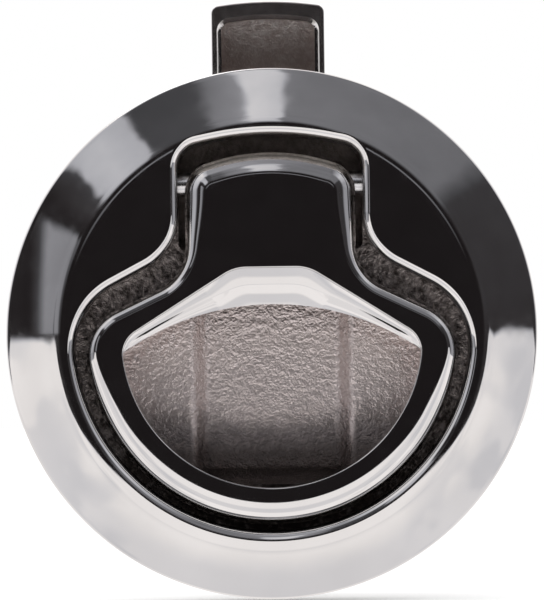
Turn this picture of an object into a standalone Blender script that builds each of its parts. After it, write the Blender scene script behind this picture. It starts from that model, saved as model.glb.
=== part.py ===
"""Flush pull latch with a round flange, a keyhole recess, a pull handle and a spring bolt.

The front faces -Y and the bolt points up, +Z. The origin lies on the latch's round axis,
in the face of the panel that the latch is fitted to.
"""
import math

import bmesh
import bpy
from mathutils import Matrix, Vector

MM = 0.001
GAP = 0.3 * MM

# Flange and body
BODY_RADIUS = 31.2 * MM
BODY_WALL = 2.8 * MM
FLANGE_WIDTH = 6.8 * MM
FLANGE_DEPTH = 4.0 * MM
RIM_THICKNESS = 1.65 * MM
RIM_FILLET = 0.4 * MM
RIDGE_FILLET = 9.0 * MM
FACE_INSET = 2.6 * MM
FLANGE_GASKET_THICKNESS = 1.0 * MM
FLANGE_GASKET_MARGIN = 1.0 * MM

# Keyhole recess, seen from the front
RECESS_TOP_RISE = 0.1 * MM
RECESS_TOP_CURVE = 42.0 * MM
RECESS_TOP_CORNER = 3.6 * MM
NECK_HALF = 13.25 * MM
SHOULDER_DROP = 9.4 * MM
SHOULDER_SLOPE = math.radians(27.8)
SHOULDER_INNER_FILLET = 8.5 * MM
SHOULDER_OUTER_FILLET = 10.5 * MM
MOUTH_FILLET = 1.25 * MM

# Pull handle
HANDLE_MARGIN = 2.0 * MM
HANDLE_DROP = 0.6 * MM
HANDLE_NECK_MARGIN = 1.4 * MM
HANDLE_TOP_MARGIN = 2.9 * MM
HANDLE_TOP_CURVE = 27.0 * MM
HANDLE_TOP_CORNER = 4.0 * MM
HANDLE_SHOULDER_DROP = 3.9 * MM
HANDLE_SHOULDER_SLOPE = math.radians(25.5)
HANDLE_INNER_FILLET = 7.0 * MM
HANDLE_OUTER_FILLET = 7.0 * MM
HANDLE_THICKNESS = 6.8 * MM
HANDLE_EDGE_FILLET = 2.4 * MM
HANDLE_BAND = 5.0 * MM

# Finger opening through the handle
OPENING_TOP_DROP = 2.7 * MM
OPENING_FLAT_HALF = 5.2 * MM
OPENING_SLOPE = math.radians(32.0)
OPENING_TOP_FILLET = 6.0 * MM
OPENING_SIDE_FILLET = 4.0 * MM
OPENING_DROP = 0.6 * MM
SCOOP_DROP = 5.2 * MM
SCOOP_CURVE = 37.2 * MM
SCOOP_CREASE_DEPTH = 1.0 * MM
SCOOP_DEPTH = 2.4 * MM

# Hinge
PIN_DROP = 7.0 * MM
PIN_RADIUS = 1.75 * MM
PIN_SETBACK = 6.7 * MM
PIN_ENGAGEMENT = 3.8 * MM
HUB_WALL = 1.85 * MM
TAIL_REACH = 16.0 * MM
TAIL_TIP_RADIUS = 1.6 * MM
TAIL_ROOT_RADIUS = 2.2 * MM
TAIL_INNER = 4.4 * MM
TAIL_THICKNESS = 2.2 * MM
SPRING_NOTCH_WALL = 0.5 * MM
HINGE_WIRE_RADIUS = 0.4 * MM
HINGE_SPRING_TURNS = 6
PULL_ANGLE = math.radians(38.0)

# Pocket behind the handle
SHELF_DEPTH = 1.5 * MM
POCKET_DEPTH = 7.5 * MM
NECK_EXTRA_DEPTH = 0.5 * MM
POCKET_SWEEP = 10.0 * MM
POCKET_MARGIN = 0.6 * MM
CHANNEL_HALF = 11.2 * MM
CHANNEL_DEPTH = 2.0 * MM
CHANNEL_BOTTOM = 20.0 * MM
FLOOR_THICKNESS = 2.0 * MM
BUMPER_RADIUS = 1.4 * MM
BUMPER_LENGTH = 2.6 * MM
BUMPER_ANGLE = math.radians(24.0)

# Bolt
BOLT_HALF = 8.25 * MM
BOLT_THICKNESS = 9.0 * MM
BOLT_SHOW = 10.3 * MM
BOLT_CORNER = 1.0 * MM
BOLT_TRAVEL = 10.0 * MM
BOLT_SIDE_WALL = 1.15 * MM
BOLT_END_WALL = 1.9 * MM
BOLT_FLOOR = 1.8 * MM
BOLT_BEVEL_LENGTH = 9.8 * MM
BOLT_BEVEL_DEPTH = 6.0 * MM
BOLT_BLOCK_HEIGHT = 13.2 * MM
TAIL_PLAY = 0.7 * MM

# Bolt springs and their guides
SPRING_RADIUS = 2.2 * MM
SPRING_WIRE_RADIUS = 0.4 * MM
SPRING_TURNS = 9
SPRING_SPACING = 9.2 * MM
SPRING_POCKET_DEPTH = 8.0 * MM
GUIDE_RADIUS = 1.2 * MM
GUIDE_CLEARANCE = 2.7 * MM
GUIDE_SEAT = 2.7 * MM

# Rear block, cover and screws
BLOCK_WALL = 6.45 * MM
BLOCK_BOTTOM_WALL = 3.7 * MM
BLOCK_BOTTOM_RISE = 8.67 * MM
BLOCK_TOP_HALF = 9.5 * MM
BLOCK_INSET = 0.6 * MM
BLOCK_TOP_DROP = 2.2 * MM
BLOCK_CORNER = 3.0 * MM
COVER_GASKET_THICKNESS = 0.6 * MM
COVER_THICKNESS = 2.0 * MM
SCREW_RADIUS = 1.5 * MM
SCREW_LENGTH = 9.0 * MM
SCREW_HEAD_RADIUS = 2.6 * MM
SCREW_HEAD_HEIGHT = 1.6 * MM
SCREW_EDGE = 3.0 * MM
SCREW_SOCKET_RADIUS = 1.2 * MM
SCREW_SOCKET_DEPTH = 0.9 * MM

# Mounting nut and washer
PANEL_THICKNESS = 5.7 * MM
WASHER_THICKNESS = 1.0 * MM
WASHER_MARGIN = 0.5 * MM
NUT_THICKNESS = 5.0 * MM
NUT_MARGIN = 1.5 * MM
NUT_NOTCHES = 6
NUT_NOTCH_WIDTH = 5.0 * MM
NUT_NOTCH_DEPTH = 1.6 * MM

# Fineness of the meshes
ROUND_SEGMENTS = 72
SMALL_SEGMENTS = 20
ARC_STEP = math.radians(9.0)
FILLET_STEPS = 3
SWEEP_STEPS = 6
OPENING_POINTS = 72
COIL_STEPS = 12
WIRE_SIDES = 6
SAME_POINT = 0.02 * MM

# Places that follow from the sizes above, from front to back
FLANGE_BACK = -FLANGE_GASKET_THICKNESS - GAP
FACE_Y = FLANGE_BACK - FLANGE_DEPTH
HANDLE_BACK = FACE_Y + HANDLE_THICKNESS
PIN_Y = FACE_Y + PIN_SETBACK
SHELF_Y = HANDLE_BACK + SHELF_DEPTH
POCKET_Y = HANDLE_BACK + POCKET_DEPTH
CHANNEL_Y = POCKET_Y + CHANNEL_DEPTH
BODY_BACK = CHANNEL_Y + FLOOR_THICKNESS
BOLT_FRONT = BODY_BACK + GAP
BOLT_BACK = BOLT_FRONT + BOLT_THICKNESS
COVER_FRONT = BOLT_BACK + GAP
BLOCK_BACK = COVER_FRONT - COVER_GASKET_THICKNESS - 2 * GAP
COVER_BACK = COVER_FRONT + COVER_THICKNESS

# Places across the latch
FLANGE_RADIUS = BODY_RADIUS + FLANGE_WIDTH
FACE_RADIUS = BODY_RADIUS - FACE_INSET
RECESS_RADIUS = BODY_RADIUS - BODY_WALL
RECESS_TOP = RECESS_RADIUS + RECESS_TOP_RISE
PIN_HEIGHT = RECESS_TOP - PIN_DROP
SHOULDER_HEIGHT = PIN_HEIGHT - SHOULDER_DROP
OPENING_TOP = SHOULDER_HEIGHT - OPENING_TOP_DROP
SCOOP_TOP = OPENING_TOP - SCOOP_DROP
BOLT_REACH = FLANGE_RADIUS + BOLT_SHOW
HANDLE_RADIUS = RECESS_RADIUS - HANDLE_MARGIN
HANDLE_NECK_HALF = NECK_HALF - HANDLE_NECK_MARGIN
HANDLE_TOP = RECESS_TOP - HANDLE_TOP_MARGIN
OPENING_RADIUS = HANDLE_RADIUS - HANDLE_BAND
OPENING_CENTRE = Vector((0.0, -OPENING_RADIUS / 4))
BORE_RADIUS = PIN_RADIUS + GAP
HUB_RADIUS = BORE_RADIUS + HUB_WALL
TAIL_OUTER = TAIL_INNER + TAIL_THICKNESS
HINGE_COIL_RADIUS = PIN_RADIUS + GAP + 1.25 * HINGE_WIRE_RADIUS
NOTCH_HALF = TAIL_INNER - SPRING_NOTCH_WALL
CHANNEL_SLIDE_HALF = BOLT_HALF + GAP
BLOCK_HALF = CHANNEL_SLIDE_HALF + BLOCK_WALL
BLOCK_SIDE_REACH = math.sqrt((BODY_RADIUS - BLOCK_INSET) ** 2 - BLOCK_HALF ** 2)
BLOCK_SIDE_TOP = BLOCK_SIDE_REACH - BLOCK_TOP_DROP
BLOCK_BOTTOM = -BLOCK_SIDE_REACH + BLOCK_BOTTOM_RISE
HOLLOW_HALF = BOLT_HALF - BOLT_SIDE_WALL
HOLLOW_BOTTOM = PIN_HEIGHT - TAIL_TIP_RADIUS - TAIL_PLAY
HOLLOW_FLOOR = BOLT_BACK - BOLT_FLOOR
BOLT_BOTTOM = HOLLOW_BOTTOM - BOLT_BLOCK_HEIGHT
SPRING_TOP = BOLT_BOTTOM + SPRING_POCKET_DEPTH
SPRING_SEAT = BLOCK_BOTTOM + BLOCK_BOTTOM_WALL + GAP
GUIDE_TOP = SPRING_TOP - BOLT_TRAVEL - GUIDE_CLEARANCE
SPRING_Y = (BOLT_FRONT + BOLT_BACK) / 2
SPRING_OUTER = SPRING_RADIUS + SPRING_WIRE_RADIUS
RING_INNER = BODY_RADIUS + GAP
BIG = 4 * FLANGE_RADIUS


def clear_scene():
    for item in list(bpy.data.objects):
        bpy.data.objects.remove(item, do_unlink=True)


def finish(name, colour, metallic, roughness):
    """A Principled material of one colour."""
    material = bpy.data.materials.new(name)
    material.use_nodes = True
    shader = material.node_tree.nodes["Principled BSDF"]
    shader.inputs["Base Color"].default_value = (*colour, 1.0)
    shader.inputs["Metallic"].default_value = metallic
    shader.inputs["Roughness"].default_value = roughness
    material.diffuse_color = (*colour, 1.0)
    return material


def polished_steel():
    return finish("polished_steel", (0.62, 0.61, 0.60), 1.0, 0.06)


def cast_steel():
    return finish("cast_steel", (0.30, 0.28, 0.27), 1.0, 0.45)


def spring_steel():
    return finish("spring_steel", (0.45, 0.45, 0.46), 1.0, 0.25)


def plated_steel():
    return finish("plated_nut", (0.55, 0.55, 0.55), 1.0, 0.3)


def black_rubber():
    return finish("black_rubber", (0.02, 0.02, 0.02), 0.0, 0.7)


def black_nylon():
    return finish("black_nylon", (0.03, 0.03, 0.03), 0.0, 0.45)


def mesh_object(name, bm, material):
    """Link a bmesh as an object with outward faces and smooth shading off its sharp edges."""
    bmesh.ops.recalc_face_normals(bm, faces=bm.faces)
    if bm.calc_volume(signed=True) < 0:
        bmesh.ops.reverse_faces(bm, faces=bm.faces)
    mesh = bpy.data.meshes.new(name)
    bm.to_mesh(mesh)
    bm.free()
    item = bpy.data.objects.new(name, mesh)
    bpy.context.scene.collection.objects.link(item)
    if material:
        mesh.materials.append(material)
    mesh.shade_smooth()
    mesh.set_sharp_from_angle(angle=math.radians(32.0))
    return item


def loft(name, rings, material=None):
    """A closed solid through rings of equal point counts, with flat end caps."""
    bm = bmesh.new()
    loops = [[bm.verts.new(point) for point in ring] for ring in rings]
    count = len(loops[0])
    for low, high in zip(loops, loops[1:]):
        for i in range(count):
            j = (i + 1) % count
            bm.faces.new((low[i], low[j], high[j], high[i]))
    bm.faces.new(loops[0])
    bm.faces.new(loops[-1])
    return mesh_object(name, bm, material)


def prism(name, outline, front, back, material=None):
    """An outline in X and Z, extruded along Y."""
    return loft(name, [level(outline, front), level(outline, back)], material)


def side_prism(name, outline, low, high, material=None):
    """An outline in Y and Z, extruded along X."""
    rings = [[(x, y, z) for y, z in outline] for x in (low, high)]
    return loft(name, rings, material)


def level(outline, y):
    return [(x, y, z) for x, z in outline]


def turned(name, profile, material=None, segments=ROUND_SEGMENTS):
    """A solid turned about the Y axis from a closed profile of radius and Y."""
    bm = bmesh.new()
    rings = []
    for radius, y in profile:
        if radius == 0:
            rings.append([bm.verts.new((0, y, 0))] * segments)
            continue
        ring = []
        for i in range(segments):
            angle = 2 * math.pi * i / segments
            ring.append(bm.verts.new((radius * math.cos(angle), y, radius * math.sin(angle))))
        rings.append(ring)
    for first, second in zip(rings, rings[1:] + rings[:1]):
        for i in range(segments):
            j = (i + 1) % segments
            corners = []
            for vert in (first[i], first[j], second[j], second[i]):
                if vert not in corners:
                    corners.append(vert)
            if len(corners) > 2:
                bm.faces.new(corners)
    return mesh_object(name, bm, material)


def circle(radius, count=SMALL_SEGMENTS, centre=(0.0, 0.0)):
    points = []
    for i in range(count):
        angle = 2 * math.pi * i / count
        points.append((centre[0] + radius * math.cos(angle), centre[1] + radius * math.sin(angle)))
    return points


def rod(name, radius, start, end, material=None, segments=SMALL_SEGMENTS):
    """A round rod between two points."""
    start, end = Vector(start), Vector(end)
    turn = (end - start).to_track_quat("Z", "Y").to_matrix()
    rings = []
    for centre in (start, end):
        rings.append([centre + turn @ Vector((x, y, 0)) for x, y in circle(radius, segments)])
    return loft(name, rings, material)


def sweep(name, path, radius, material):
    """A round wire along a path of points."""
    rings = []
    normal = None
    for i, point in enumerate(path):
        ahead = path[min(i + 1, len(path) - 1)] - path[max(i - 1, 0)]
        ahead.normalize()
        if normal is None:
            normal = ahead.orthogonal()
        normal = (normal - ahead * normal.dot(ahead)).normalized()
        side = ahead.cross(normal)
        rings.append([point + normal * x + side * y for x, y in circle(radius, WIRE_SIDES)])
    return loft(name, rings, material)


def cut(target, cutter, operation="DIFFERENCE"):
    """Subtract or add a guide solid, which stays as a wire helper."""
    modifier = target.modifiers.new(cutter.name, "BOOLEAN")
    modifier.object = cutter
    modifier.operation = operation
    modifier.solver = "EXACT"
    cutter.hide_render = True
    cutter.display_type = "WIRE"


def set_origin(item, origin):
    """Move an object's origin without moving its shape."""
    origin = Vector(origin)
    item.data.transform(Matrix.Translation(-origin))
    item.location = origin


def rounded(corners):
    """An outline from corners of x, z and fillet radius, each fillet limited by its sides."""
    count = len(corners)
    places = [Vector(corner[:2]) for corner in corners]
    sides = [(places[(i + 1) % count] - places[i]).length for i in range(count)]
    halves = []
    for i in range(count):
        back = (places[i - 1] - places[i]).normalized()
        ahead = (places[(i + 1) % count] - places[i]).normalized()
        halves.append(math.acos(max(-1.0, min(1.0, back.dot(ahead)))) / 2)
    wanted = [corners[i][2] / math.tan(halves[i]) for i in range(count)]
    points = []
    for i, here in enumerate(places):
        after = sides[i] / max(sides[i], wanted[i] + wanted[(i + 1) % count])
        before = sides[i - 1] / max(sides[i - 1], wanted[i] + wanted[i - 1])
        touch = wanted[i] * min(after, before)
        radius = touch * math.tan(halves[i])
        back = (places[i - 1] - here).normalized()
        ahead = (places[(i + 1) % count] - here).normalized()
        centre = here + (back + ahead).normalized() * (radius / math.sin(halves[i]))
        first = here + back * touch - centre
        last = here + ahead * touch - centre
        start = math.atan2(first.y, first.x)
        turn = (math.atan2(last.y, last.x) - start + math.pi) % (2 * math.pi) - math.pi
        steps = max(1, math.ceil(abs(turn) / ARC_STEP))
        for k in range(steps + 1):
            angle = start + turn * k / steps
            point = centre + radius * Vector((math.cos(angle), math.sin(angle)))
            if not points or (point - points[-1]).length > SAME_POINT:
                points.append(point)
    if (points[0] - points[-1]).length < SAME_POINT:
        points.pop()
    return [tuple(point) for point in points]


def crossing(point_a, way_a, point_b, way_b):
    """Where two lines meet."""
    det = way_b[0] * way_a[1] - way_a[0] * way_b[1]
    dx, dz = point_b[0] - point_a[0], point_b[1] - point_a[1]
    share = (way_b[0] * dz - way_b[1] * dx) / det
    return point_a[0] + share * way_a[0], point_a[1] + share * way_a[1]


def mirrored(right):
    """Close a right half of corners, listed from top to bottom, with its left half."""
    return right + [(-x, z, radius) for x, z, radius in reversed(right)]


BOWL_START = math.radians(8.0)


def bowl_corners(radius, drop):
    """Corners whose fillets make the lower round, and the line that enters it."""
    start = (radius * math.cos(BOWL_START), -drop - radius * math.sin(BOWL_START))
    way = (math.sin(BOWL_START), math.cos(BOWL_START))
    span = (math.pi / 2 - BOWL_START) / 2
    corners = []
    for share in (0.5, 1.5):
        angle = BOWL_START + span * share
        reach = radius / math.cos(span / 2)
        corners.append((reach * math.cos(angle), -drop - reach * math.sin(angle), radius))
    return start, way, corners


def neck_corners(neck_half, top, top_curve, corner):
    """The upper end of a keyhole, from the middle of its curved top to its side."""
    lean = 0.62 * math.asin(min(0.9, neck_half / top_curve))
    touch = (top_curve * math.sin(lean), top - top_curve * (1 - math.cos(lean)))
    side = crossing(touch, (math.cos(lean), -math.sin(lean)), (neck_half, 0.0), (0.0, 1.0))
    return [(top_curve * math.tan(lean / 2), top, top_curve), (side[0], side[1], corner)]


def keyhole(radius, drop, neck, shoulder):
    """A round bowl with sloping shoulders under a narrow neck."""
    neck_half = neck[0]
    height, slope, inner, outer = shoulder
    start, way, bowl = bowl_corners(radius, drop)
    down = (math.cos(slope), -math.sin(slope))
    joint = crossing((neck_half, height), down, start, way)
    right = neck_corners(*neck)
    right += [(neck_half, height, inner), (joint[0], joint[1], outer)]
    return rounded(mirrored(right + bowl))


RECESS_NECK = (NECK_HALF, RECESS_TOP, RECESS_TOP_CURVE, RECESS_TOP_CORNER)


def recess_outline():
    shoulder = (SHOULDER_HEIGHT, SHOULDER_SLOPE, SHOULDER_INNER_FILLET, SHOULDER_OUTER_FILLET)
    return keyhole(RECESS_RADIUS, 0.0, RECESS_NECK, shoulder)


def handle_outline():
    neck = (HANDLE_NECK_HALF, HANDLE_TOP, HANDLE_TOP_CURVE, HANDLE_TOP_CORNER)
    height = SHOULDER_HEIGHT - HANDLE_SHOULDER_DROP
    shoulder = (height, HANDLE_SHOULDER_SLOPE, HANDLE_INNER_FILLET, HANDLE_OUTER_FILLET)
    return keyhole(HANDLE_RADIUS, HANDLE_DROP, neck, shoulder)


def opening_outline():
    """The finger opening's edge in the handle's front face."""
    start, way, bowl = bowl_corners(OPENING_RADIUS, OPENING_DROP)
    down = (math.cos(OPENING_SLOPE), -math.sin(OPENING_SLOPE))
    joint = crossing((OPENING_FLAT_HALF, OPENING_TOP), down, start, way)
    right = [(OPENING_FLAT_HALF, OPENING_TOP, OPENING_TOP_FILLET)]
    right += [(joint[0], joint[1], OPENING_SIDE_FILLET)]
    return rounded(mirrored(right + bowl))


def offset(outline, distance):
    """The outline moved outwards, or inwards for a negative distance."""
    points = [Vector(point) for point in outline]
    area = sum(a.x * b.y - b.x * a.y for a, b in zip(points, points[1:] + points[:1]))
    sense = 1.0 if area > 0 else -1.0
    moved = []
    for i, point in enumerate(points):
        before = (point - points[i - 1]).normalized()
        after = (points[(i + 1) % len(points)] - point).normalized()
        along = (before + after).normalized()
        reach = distance / max(0.5, along.dot(after))
        moved.append((point.x + sense * along.y * reach, point.y - sense * along.x * reach))
    return moved


def ray_reach(outline, centre, angle):
    """How far an outline lies from a centre along a ray."""
    way = (math.cos(angle), math.sin(angle))
    best = 0.0
    for a, b in zip(outline, outline[1:] + outline[:1]):
        ax, az = a[0] - centre[0], a[1] - centre[1]
        bx, bz = b[0] - centre[0], b[1] - centre[1]
        side_a = way[0] * az - way[1] * ax
        side_b = way[0] * bz - way[1] * bx
        if side_a * side_b > 0 or side_a == side_b:
            continue
        share = side_a / (side_a - side_b)
        reach = way[0] * (ax + share * (bx - ax)) + way[1] * (az + share * (bz - az))
        best = max(best, reach)
    return best


def opening_ring(outline, share):
    """The opening's edge at a depth: share 0 at the front, 1 at the scoop's back edge."""
    centre = OPENING_CENTRE
    scoop_centre = SCOOP_TOP - SCOOP_CURVE
    ring = []
    for i in range(OPENING_POINTS):
        angle = 2 * math.pi * (i + 0.5) / OPENING_POINTS
        reach = ray_reach(outline, centre, angle)
        rise = centre.y - scoop_centre
        along = rise * math.sin(angle)
        scoop = -along + math.sqrt(along * along + SCOOP_CURVE ** 2 - rise * rise)
        reach += share * (min(reach, scoop) - reach)
        ring.append((centre.x + reach * math.cos(angle), centre.y + reach * math.sin(angle)))
    return ring


def housing_profile():
    """Half section of the flange and the body, whose cone is tangent to its ridge's fillet."""
    profile = [(0.0, FACE_Y), (FACE_RADIUS, FACE_Y)]
    edge_radius = FLANGE_RADIUS - RIM_FILLET
    edge_y = FLANGE_BACK - RIM_THICKNESS
    out, rise = edge_radius - FACE_RADIUS, FACE_Y + RIDGE_FILLET - edge_y
    cone_angle = math.asin(RIDGE_FILLET / math.hypot(out, rise)) - math.atan2(rise, out)
    for k in range(1, FILLET_STEPS + 1):
        angle = cone_angle * k / FILLET_STEPS
        drop = RIDGE_FILLET * (1 - math.cos(angle))
        profile.append((FACE_RADIUS + RIDGE_FILLET * math.sin(angle), FACE_Y + drop))
    profile.append((edge_radius, edge_y))
    profile.append((FLANGE_RADIUS, edge_y + RIM_FILLET))
    profile.append((FLANGE_RADIUS, FLANGE_BACK))
    profile.append((BODY_RADIUS, FLANGE_BACK))
    profile.append((BODY_RADIUS, BODY_BACK))
    profile.append((0.0, BODY_BACK))
    return profile


def block_outline():
    """The rear block's outline, which passes through the mounting nut's bore."""
    top = math.sqrt((BODY_RADIUS - BLOCK_INSET) ** 2 - BLOCK_TOP_HALF ** 2)
    right = [
        (BLOCK_TOP_HALF, top, BLOCK_CORNER / 2),
        (BLOCK_HALF, BLOCK_SIDE_TOP, BLOCK_CORNER),
        (BLOCK_HALF, BLOCK_BOTTOM, BLOCK_CORNER),
    ]
    return rounded(mirrored(right))


def screw_places():
    x = BLOCK_HALF - SCREW_EDGE
    heights = (BLOCK_SIDE_TOP - SCREW_EDGE, BLOCK_BOTTOM + SCREW_EDGE)
    return [(side * x, z) for z in heights for side in (-1, 1)]


def bumper_places():
    """On the shelf, behind the handle's lower band."""
    radius = HANDLE_RADIUS - HANDLE_BAND / 2
    x = radius * math.cos(BUMPER_ANGLE)
    z = -HANDLE_DROP - radius * math.sin(BUMPER_ANGLE)
    return [("left", -x, z), ("right", x, z)]


def recess_cutter():
    """The keyhole recess down to its shelf, with the rounded mouth."""
    outline = recess_outline()
    rings = [level(offset(outline, MOUTH_FILLET), FACE_Y - FLANGE_DEPTH)]
    for k in range(FILLET_STEPS + 1):
        angle = math.pi / 2 * k / FILLET_STEPS
        spread = MOUTH_FILLET * (1 - math.sin(angle))
        rings.append(level(offset(outline, spread), FACE_Y + MOUTH_FILLET * (1 - math.cos(angle))))
    rings.append(level(outline, SHELF_Y))
    return loft("recess_cutter", rings)


def neck_cutter():
    """Full depth behind the handle's neck, where its hub and tails turn."""
    right = neck_corners(*RECESS_NECK)
    right.append((NECK_HALF, SHOULDER_HEIGHT, RECESS_TOP_CORNER / 4))
    return prism("neck_cutter", rounded(mirrored(right)), FACE_Y + MOUTH_FILLET,
                 POCKET_Y + NECK_EXTRA_DEPTH)


def swept_floor(name, depth):
    """A side section whose floor curves forward at the bottom of the pocket."""
    points = [(FACE_Y, RECESS_TOP), (depth, RECESS_TOP)]
    centre_y = depth - POCKET_SWEEP
    centre_z = POCKET_SWEEP - OPENING_RADIUS - OPENING_DROP - POCKET_MARGIN
    for k in range(SWEEP_STEPS + 1):
        angle = math.pi / 2 * k / SWEEP_STEPS
        y = centre_y + POCKET_SWEEP * math.cos(angle)
        points.append((y, centre_z - POCKET_SWEEP * math.sin(angle)))
    points.append((FACE_Y, centre_z - POCKET_SWEEP))
    return side_prism(name, points, -FLANGE_RADIUS, FLANGE_RADIUS)


def pocket_cutter():
    """The pocket that the finger opening looks into."""
    outline = offset(opening_ring(opening_outline(), 0.0), POCKET_MARGIN)
    item = prism("pocket_cutter", outline, FACE_Y + 2 * MOUTH_FILLET, BODY_BACK)
    cut(item, swept_floor("pocket_floor", POCKET_Y), "INTERSECT")
    return item


def channel_cutter():
    """The shallow channel down the middle of the pocket's floor."""
    top = RECESS_TOP - RECESS_TOP_CORNER
    corner = RECESS_TOP_CORNER / 2
    right = [(CHANNEL_HALF, top, corner), (CHANNEL_HALF, -CHANNEL_BOTTOM, corner)]
    item = prism("channel_cutter", rounded(mirrored(right)), SHELF_Y, BODY_BACK)
    cut(item, swept_floor("channel_floor", CHANNEL_Y), "INTERSECT")
    return item


def window_cutter():
    """The hole in the floor that the handle's tails reach through."""
    reach = BOLT_FRONT - PIN_Y
    low = PIN_HEIGHT - reach * math.tan(PULL_ANGLE) - TAIL_ROOT_RADIUS / math.cos(PULL_ANGLE)
    low -= 2 * GAP
    high = PIN_HEIGHT + TAIL_ROOT_RADIUS + 2 * GAP
    half = TAIL_OUTER + 3 * GAP
    right = [(half, high, GAP), (half, low, GAP)]
    return prism("window_cutter", rounded(mirrored(right)), POCKET_Y, BOLT_FRONT + GAP)


def slide_cutter():
    """The bolt's way, open at the top and towards the cover."""
    top = BOLT_REACH
    right = [(CHANNEL_SLIDE_HALF, top, GAP), (CHANNEL_SLIDE_HALF, SPRING_SEAT - GAP, GAP)]
    return prism("slide_cutter", rounded(mirrored(right)), BODY_BACK, COVER_BACK)


def housing():
    item = turned("housing", housing_profile(), polished_steel())
    cut(item, prism("block", block_outline(), POCKET_Y, BLOCK_BACK), "UNION")
    for cutter in (recess_cutter(), neck_cutter(), pocket_cutter(), channel_cutter(),
                   window_cutter(), slide_cutter()):
        cut(item, cutter)
    start = (-NECK_HALF - PIN_ENGAGEMENT - GAP, PIN_Y, PIN_HEIGHT)
    cut(item, rod("pin_hole", BORE_RADIUS, start, (BODY_RADIUS, PIN_Y, PIN_HEIGHT)))
    for i, (x, z) in enumerate(screw_places()):
        deep = (x, COVER_BACK - SCREW_LENGTH - GAP, z)
        cut(item, rod(f"screw_hole_{i}", SCREW_RADIUS + GAP, deep, (x, COVER_BACK, z)))
    for side, x, z in bumper_places():
        deep = (x, SHELF_Y + BUMPER_LENGTH - SHELF_DEPTH + 2 * GAP, z)
        cut(item, rod(f"bumper_hole_{side}", BUMPER_RADIUS + GAP, (x, HANDLE_BACK, z), deep))
    for side, x in spring_places():
        low = (x, SPRING_Y, SPRING_SEAT - GUIDE_SEAT - GAP)
        cut(item, rod(f"guide_hole_{side}", GUIDE_RADIUS + GAP, low, (x, SPRING_Y, SPRING_SEAT)))
    return item


def handle_plate():
    """The handle's solid outline, with its front edge rounded over."""
    outline = handle_outline()
    rings = []
    for k in range(FILLET_STEPS + 2):
        angle = math.pi / 2 * k / (FILLET_STEPS + 1)
        inward = -HANDLE_EDGE_FILLET * (1 - math.sin(angle))
        depth = HANDLE_EDGE_FILLET * (1 - math.cos(angle))
        rings.append(level(offset(outline, inward), FACE_Y + depth))
    rings.append(level(outline, HANDLE_BACK))
    return loft("pull_handle", rings, polished_steel())


def opening_cutter():
    """The finger opening, whose top slopes down to the scoop's back edge."""
    outline = opening_outline()
    front = opening_ring(outline, 0.0)
    rings = [level(front, FACE_Y - FLANGE_DEPTH), level(front, FACE_Y)]
    for share, depth in ((0.45, SCOOP_CREASE_DEPTH), (1.0, SCOOP_DEPTH)):
        rings.append(level(opening_ring(outline, share), FACE_Y + depth))
    rings.append(level(opening_ring(outline, 1.0), HANDLE_BACK + FLANGE_DEPTH))
    return loft("opening_cutter", rings)


def tail_outline():
    """A lever from the hub to its round tip, in Y and Z."""
    points = [(PIN_Y, PIN_HEIGHT - TAIL_ROOT_RADIUS)]
    steps = SMALL_SEGMENTS // 2
    for k in range(steps + 1):
        angle = -math.pi / 2 + math.pi * k / steps
        y = PIN_Y + TAIL_REACH + TAIL_TIP_RADIUS * math.cos(angle)
        points.append((y, PIN_HEIGHT + TAIL_TIP_RADIUS * math.sin(angle)))
    points.append((PIN_Y, PIN_HEIGHT + TAIL_ROOT_RADIUS))
    return points


def pull_handle():
    item = handle_plate()
    hub_end = HANDLE_NECK_HALF - 2 * GAP
    for side in (-1, 1):
        start = (side * TAIL_INNER, PIN_Y, PIN_HEIGHT)
        end = (side * hub_end, PIN_Y, PIN_HEIGHT)
        cut(item, rod(f"hub_{side}", HUB_RADIUS, start, end), "UNION")
        low, high = sorted((side * (TAIL_INNER + GAP), side * TAIL_OUTER))
        cut(item, side_prism(f"tail_{side}", tail_outline(), low, high), "UNION")
    cut(item, opening_cutter())
    reach = HINGE_COIL_RADIUS + HINGE_WIRE_RADIUS + GAP
    notch = [(PIN_Y - reach, PIN_HEIGHT - reach), (HANDLE_BACK + reach, PIN_HEIGHT - reach),
             (HANDLE_BACK + reach, RECESS_TOP), (PIN_Y - reach, RECESS_TOP)]
    cut(item, side_prism("spring_notch", notch, -NOTCH_HALF, NOTCH_HALF))
    start = (-NECK_HALF, PIN_Y, PIN_HEIGHT)
    cut(item, rod("handle_bore", BORE_RADIUS, start, (NECK_HALF, PIN_Y, PIN_HEIGHT)))
    set_origin(item, (0.0, PIN_Y, PIN_HEIGHT))
    return item


def hinge_pin():
    end = math.sqrt(BODY_RADIUS ** 2 - (PIN_HEIGHT + PIN_RADIUS) ** 2) - GAP
    start = (-NECK_HALF - PIN_ENGAGEMENT, PIN_Y, PIN_HEIGHT)
    item = rod("hinge_pin", PIN_RADIUS, start, (end, PIN_Y, PIN_HEIGHT), spring_steel())
    set_origin(item, (0.0, PIN_Y, PIN_HEIGHT))
    return item


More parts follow.
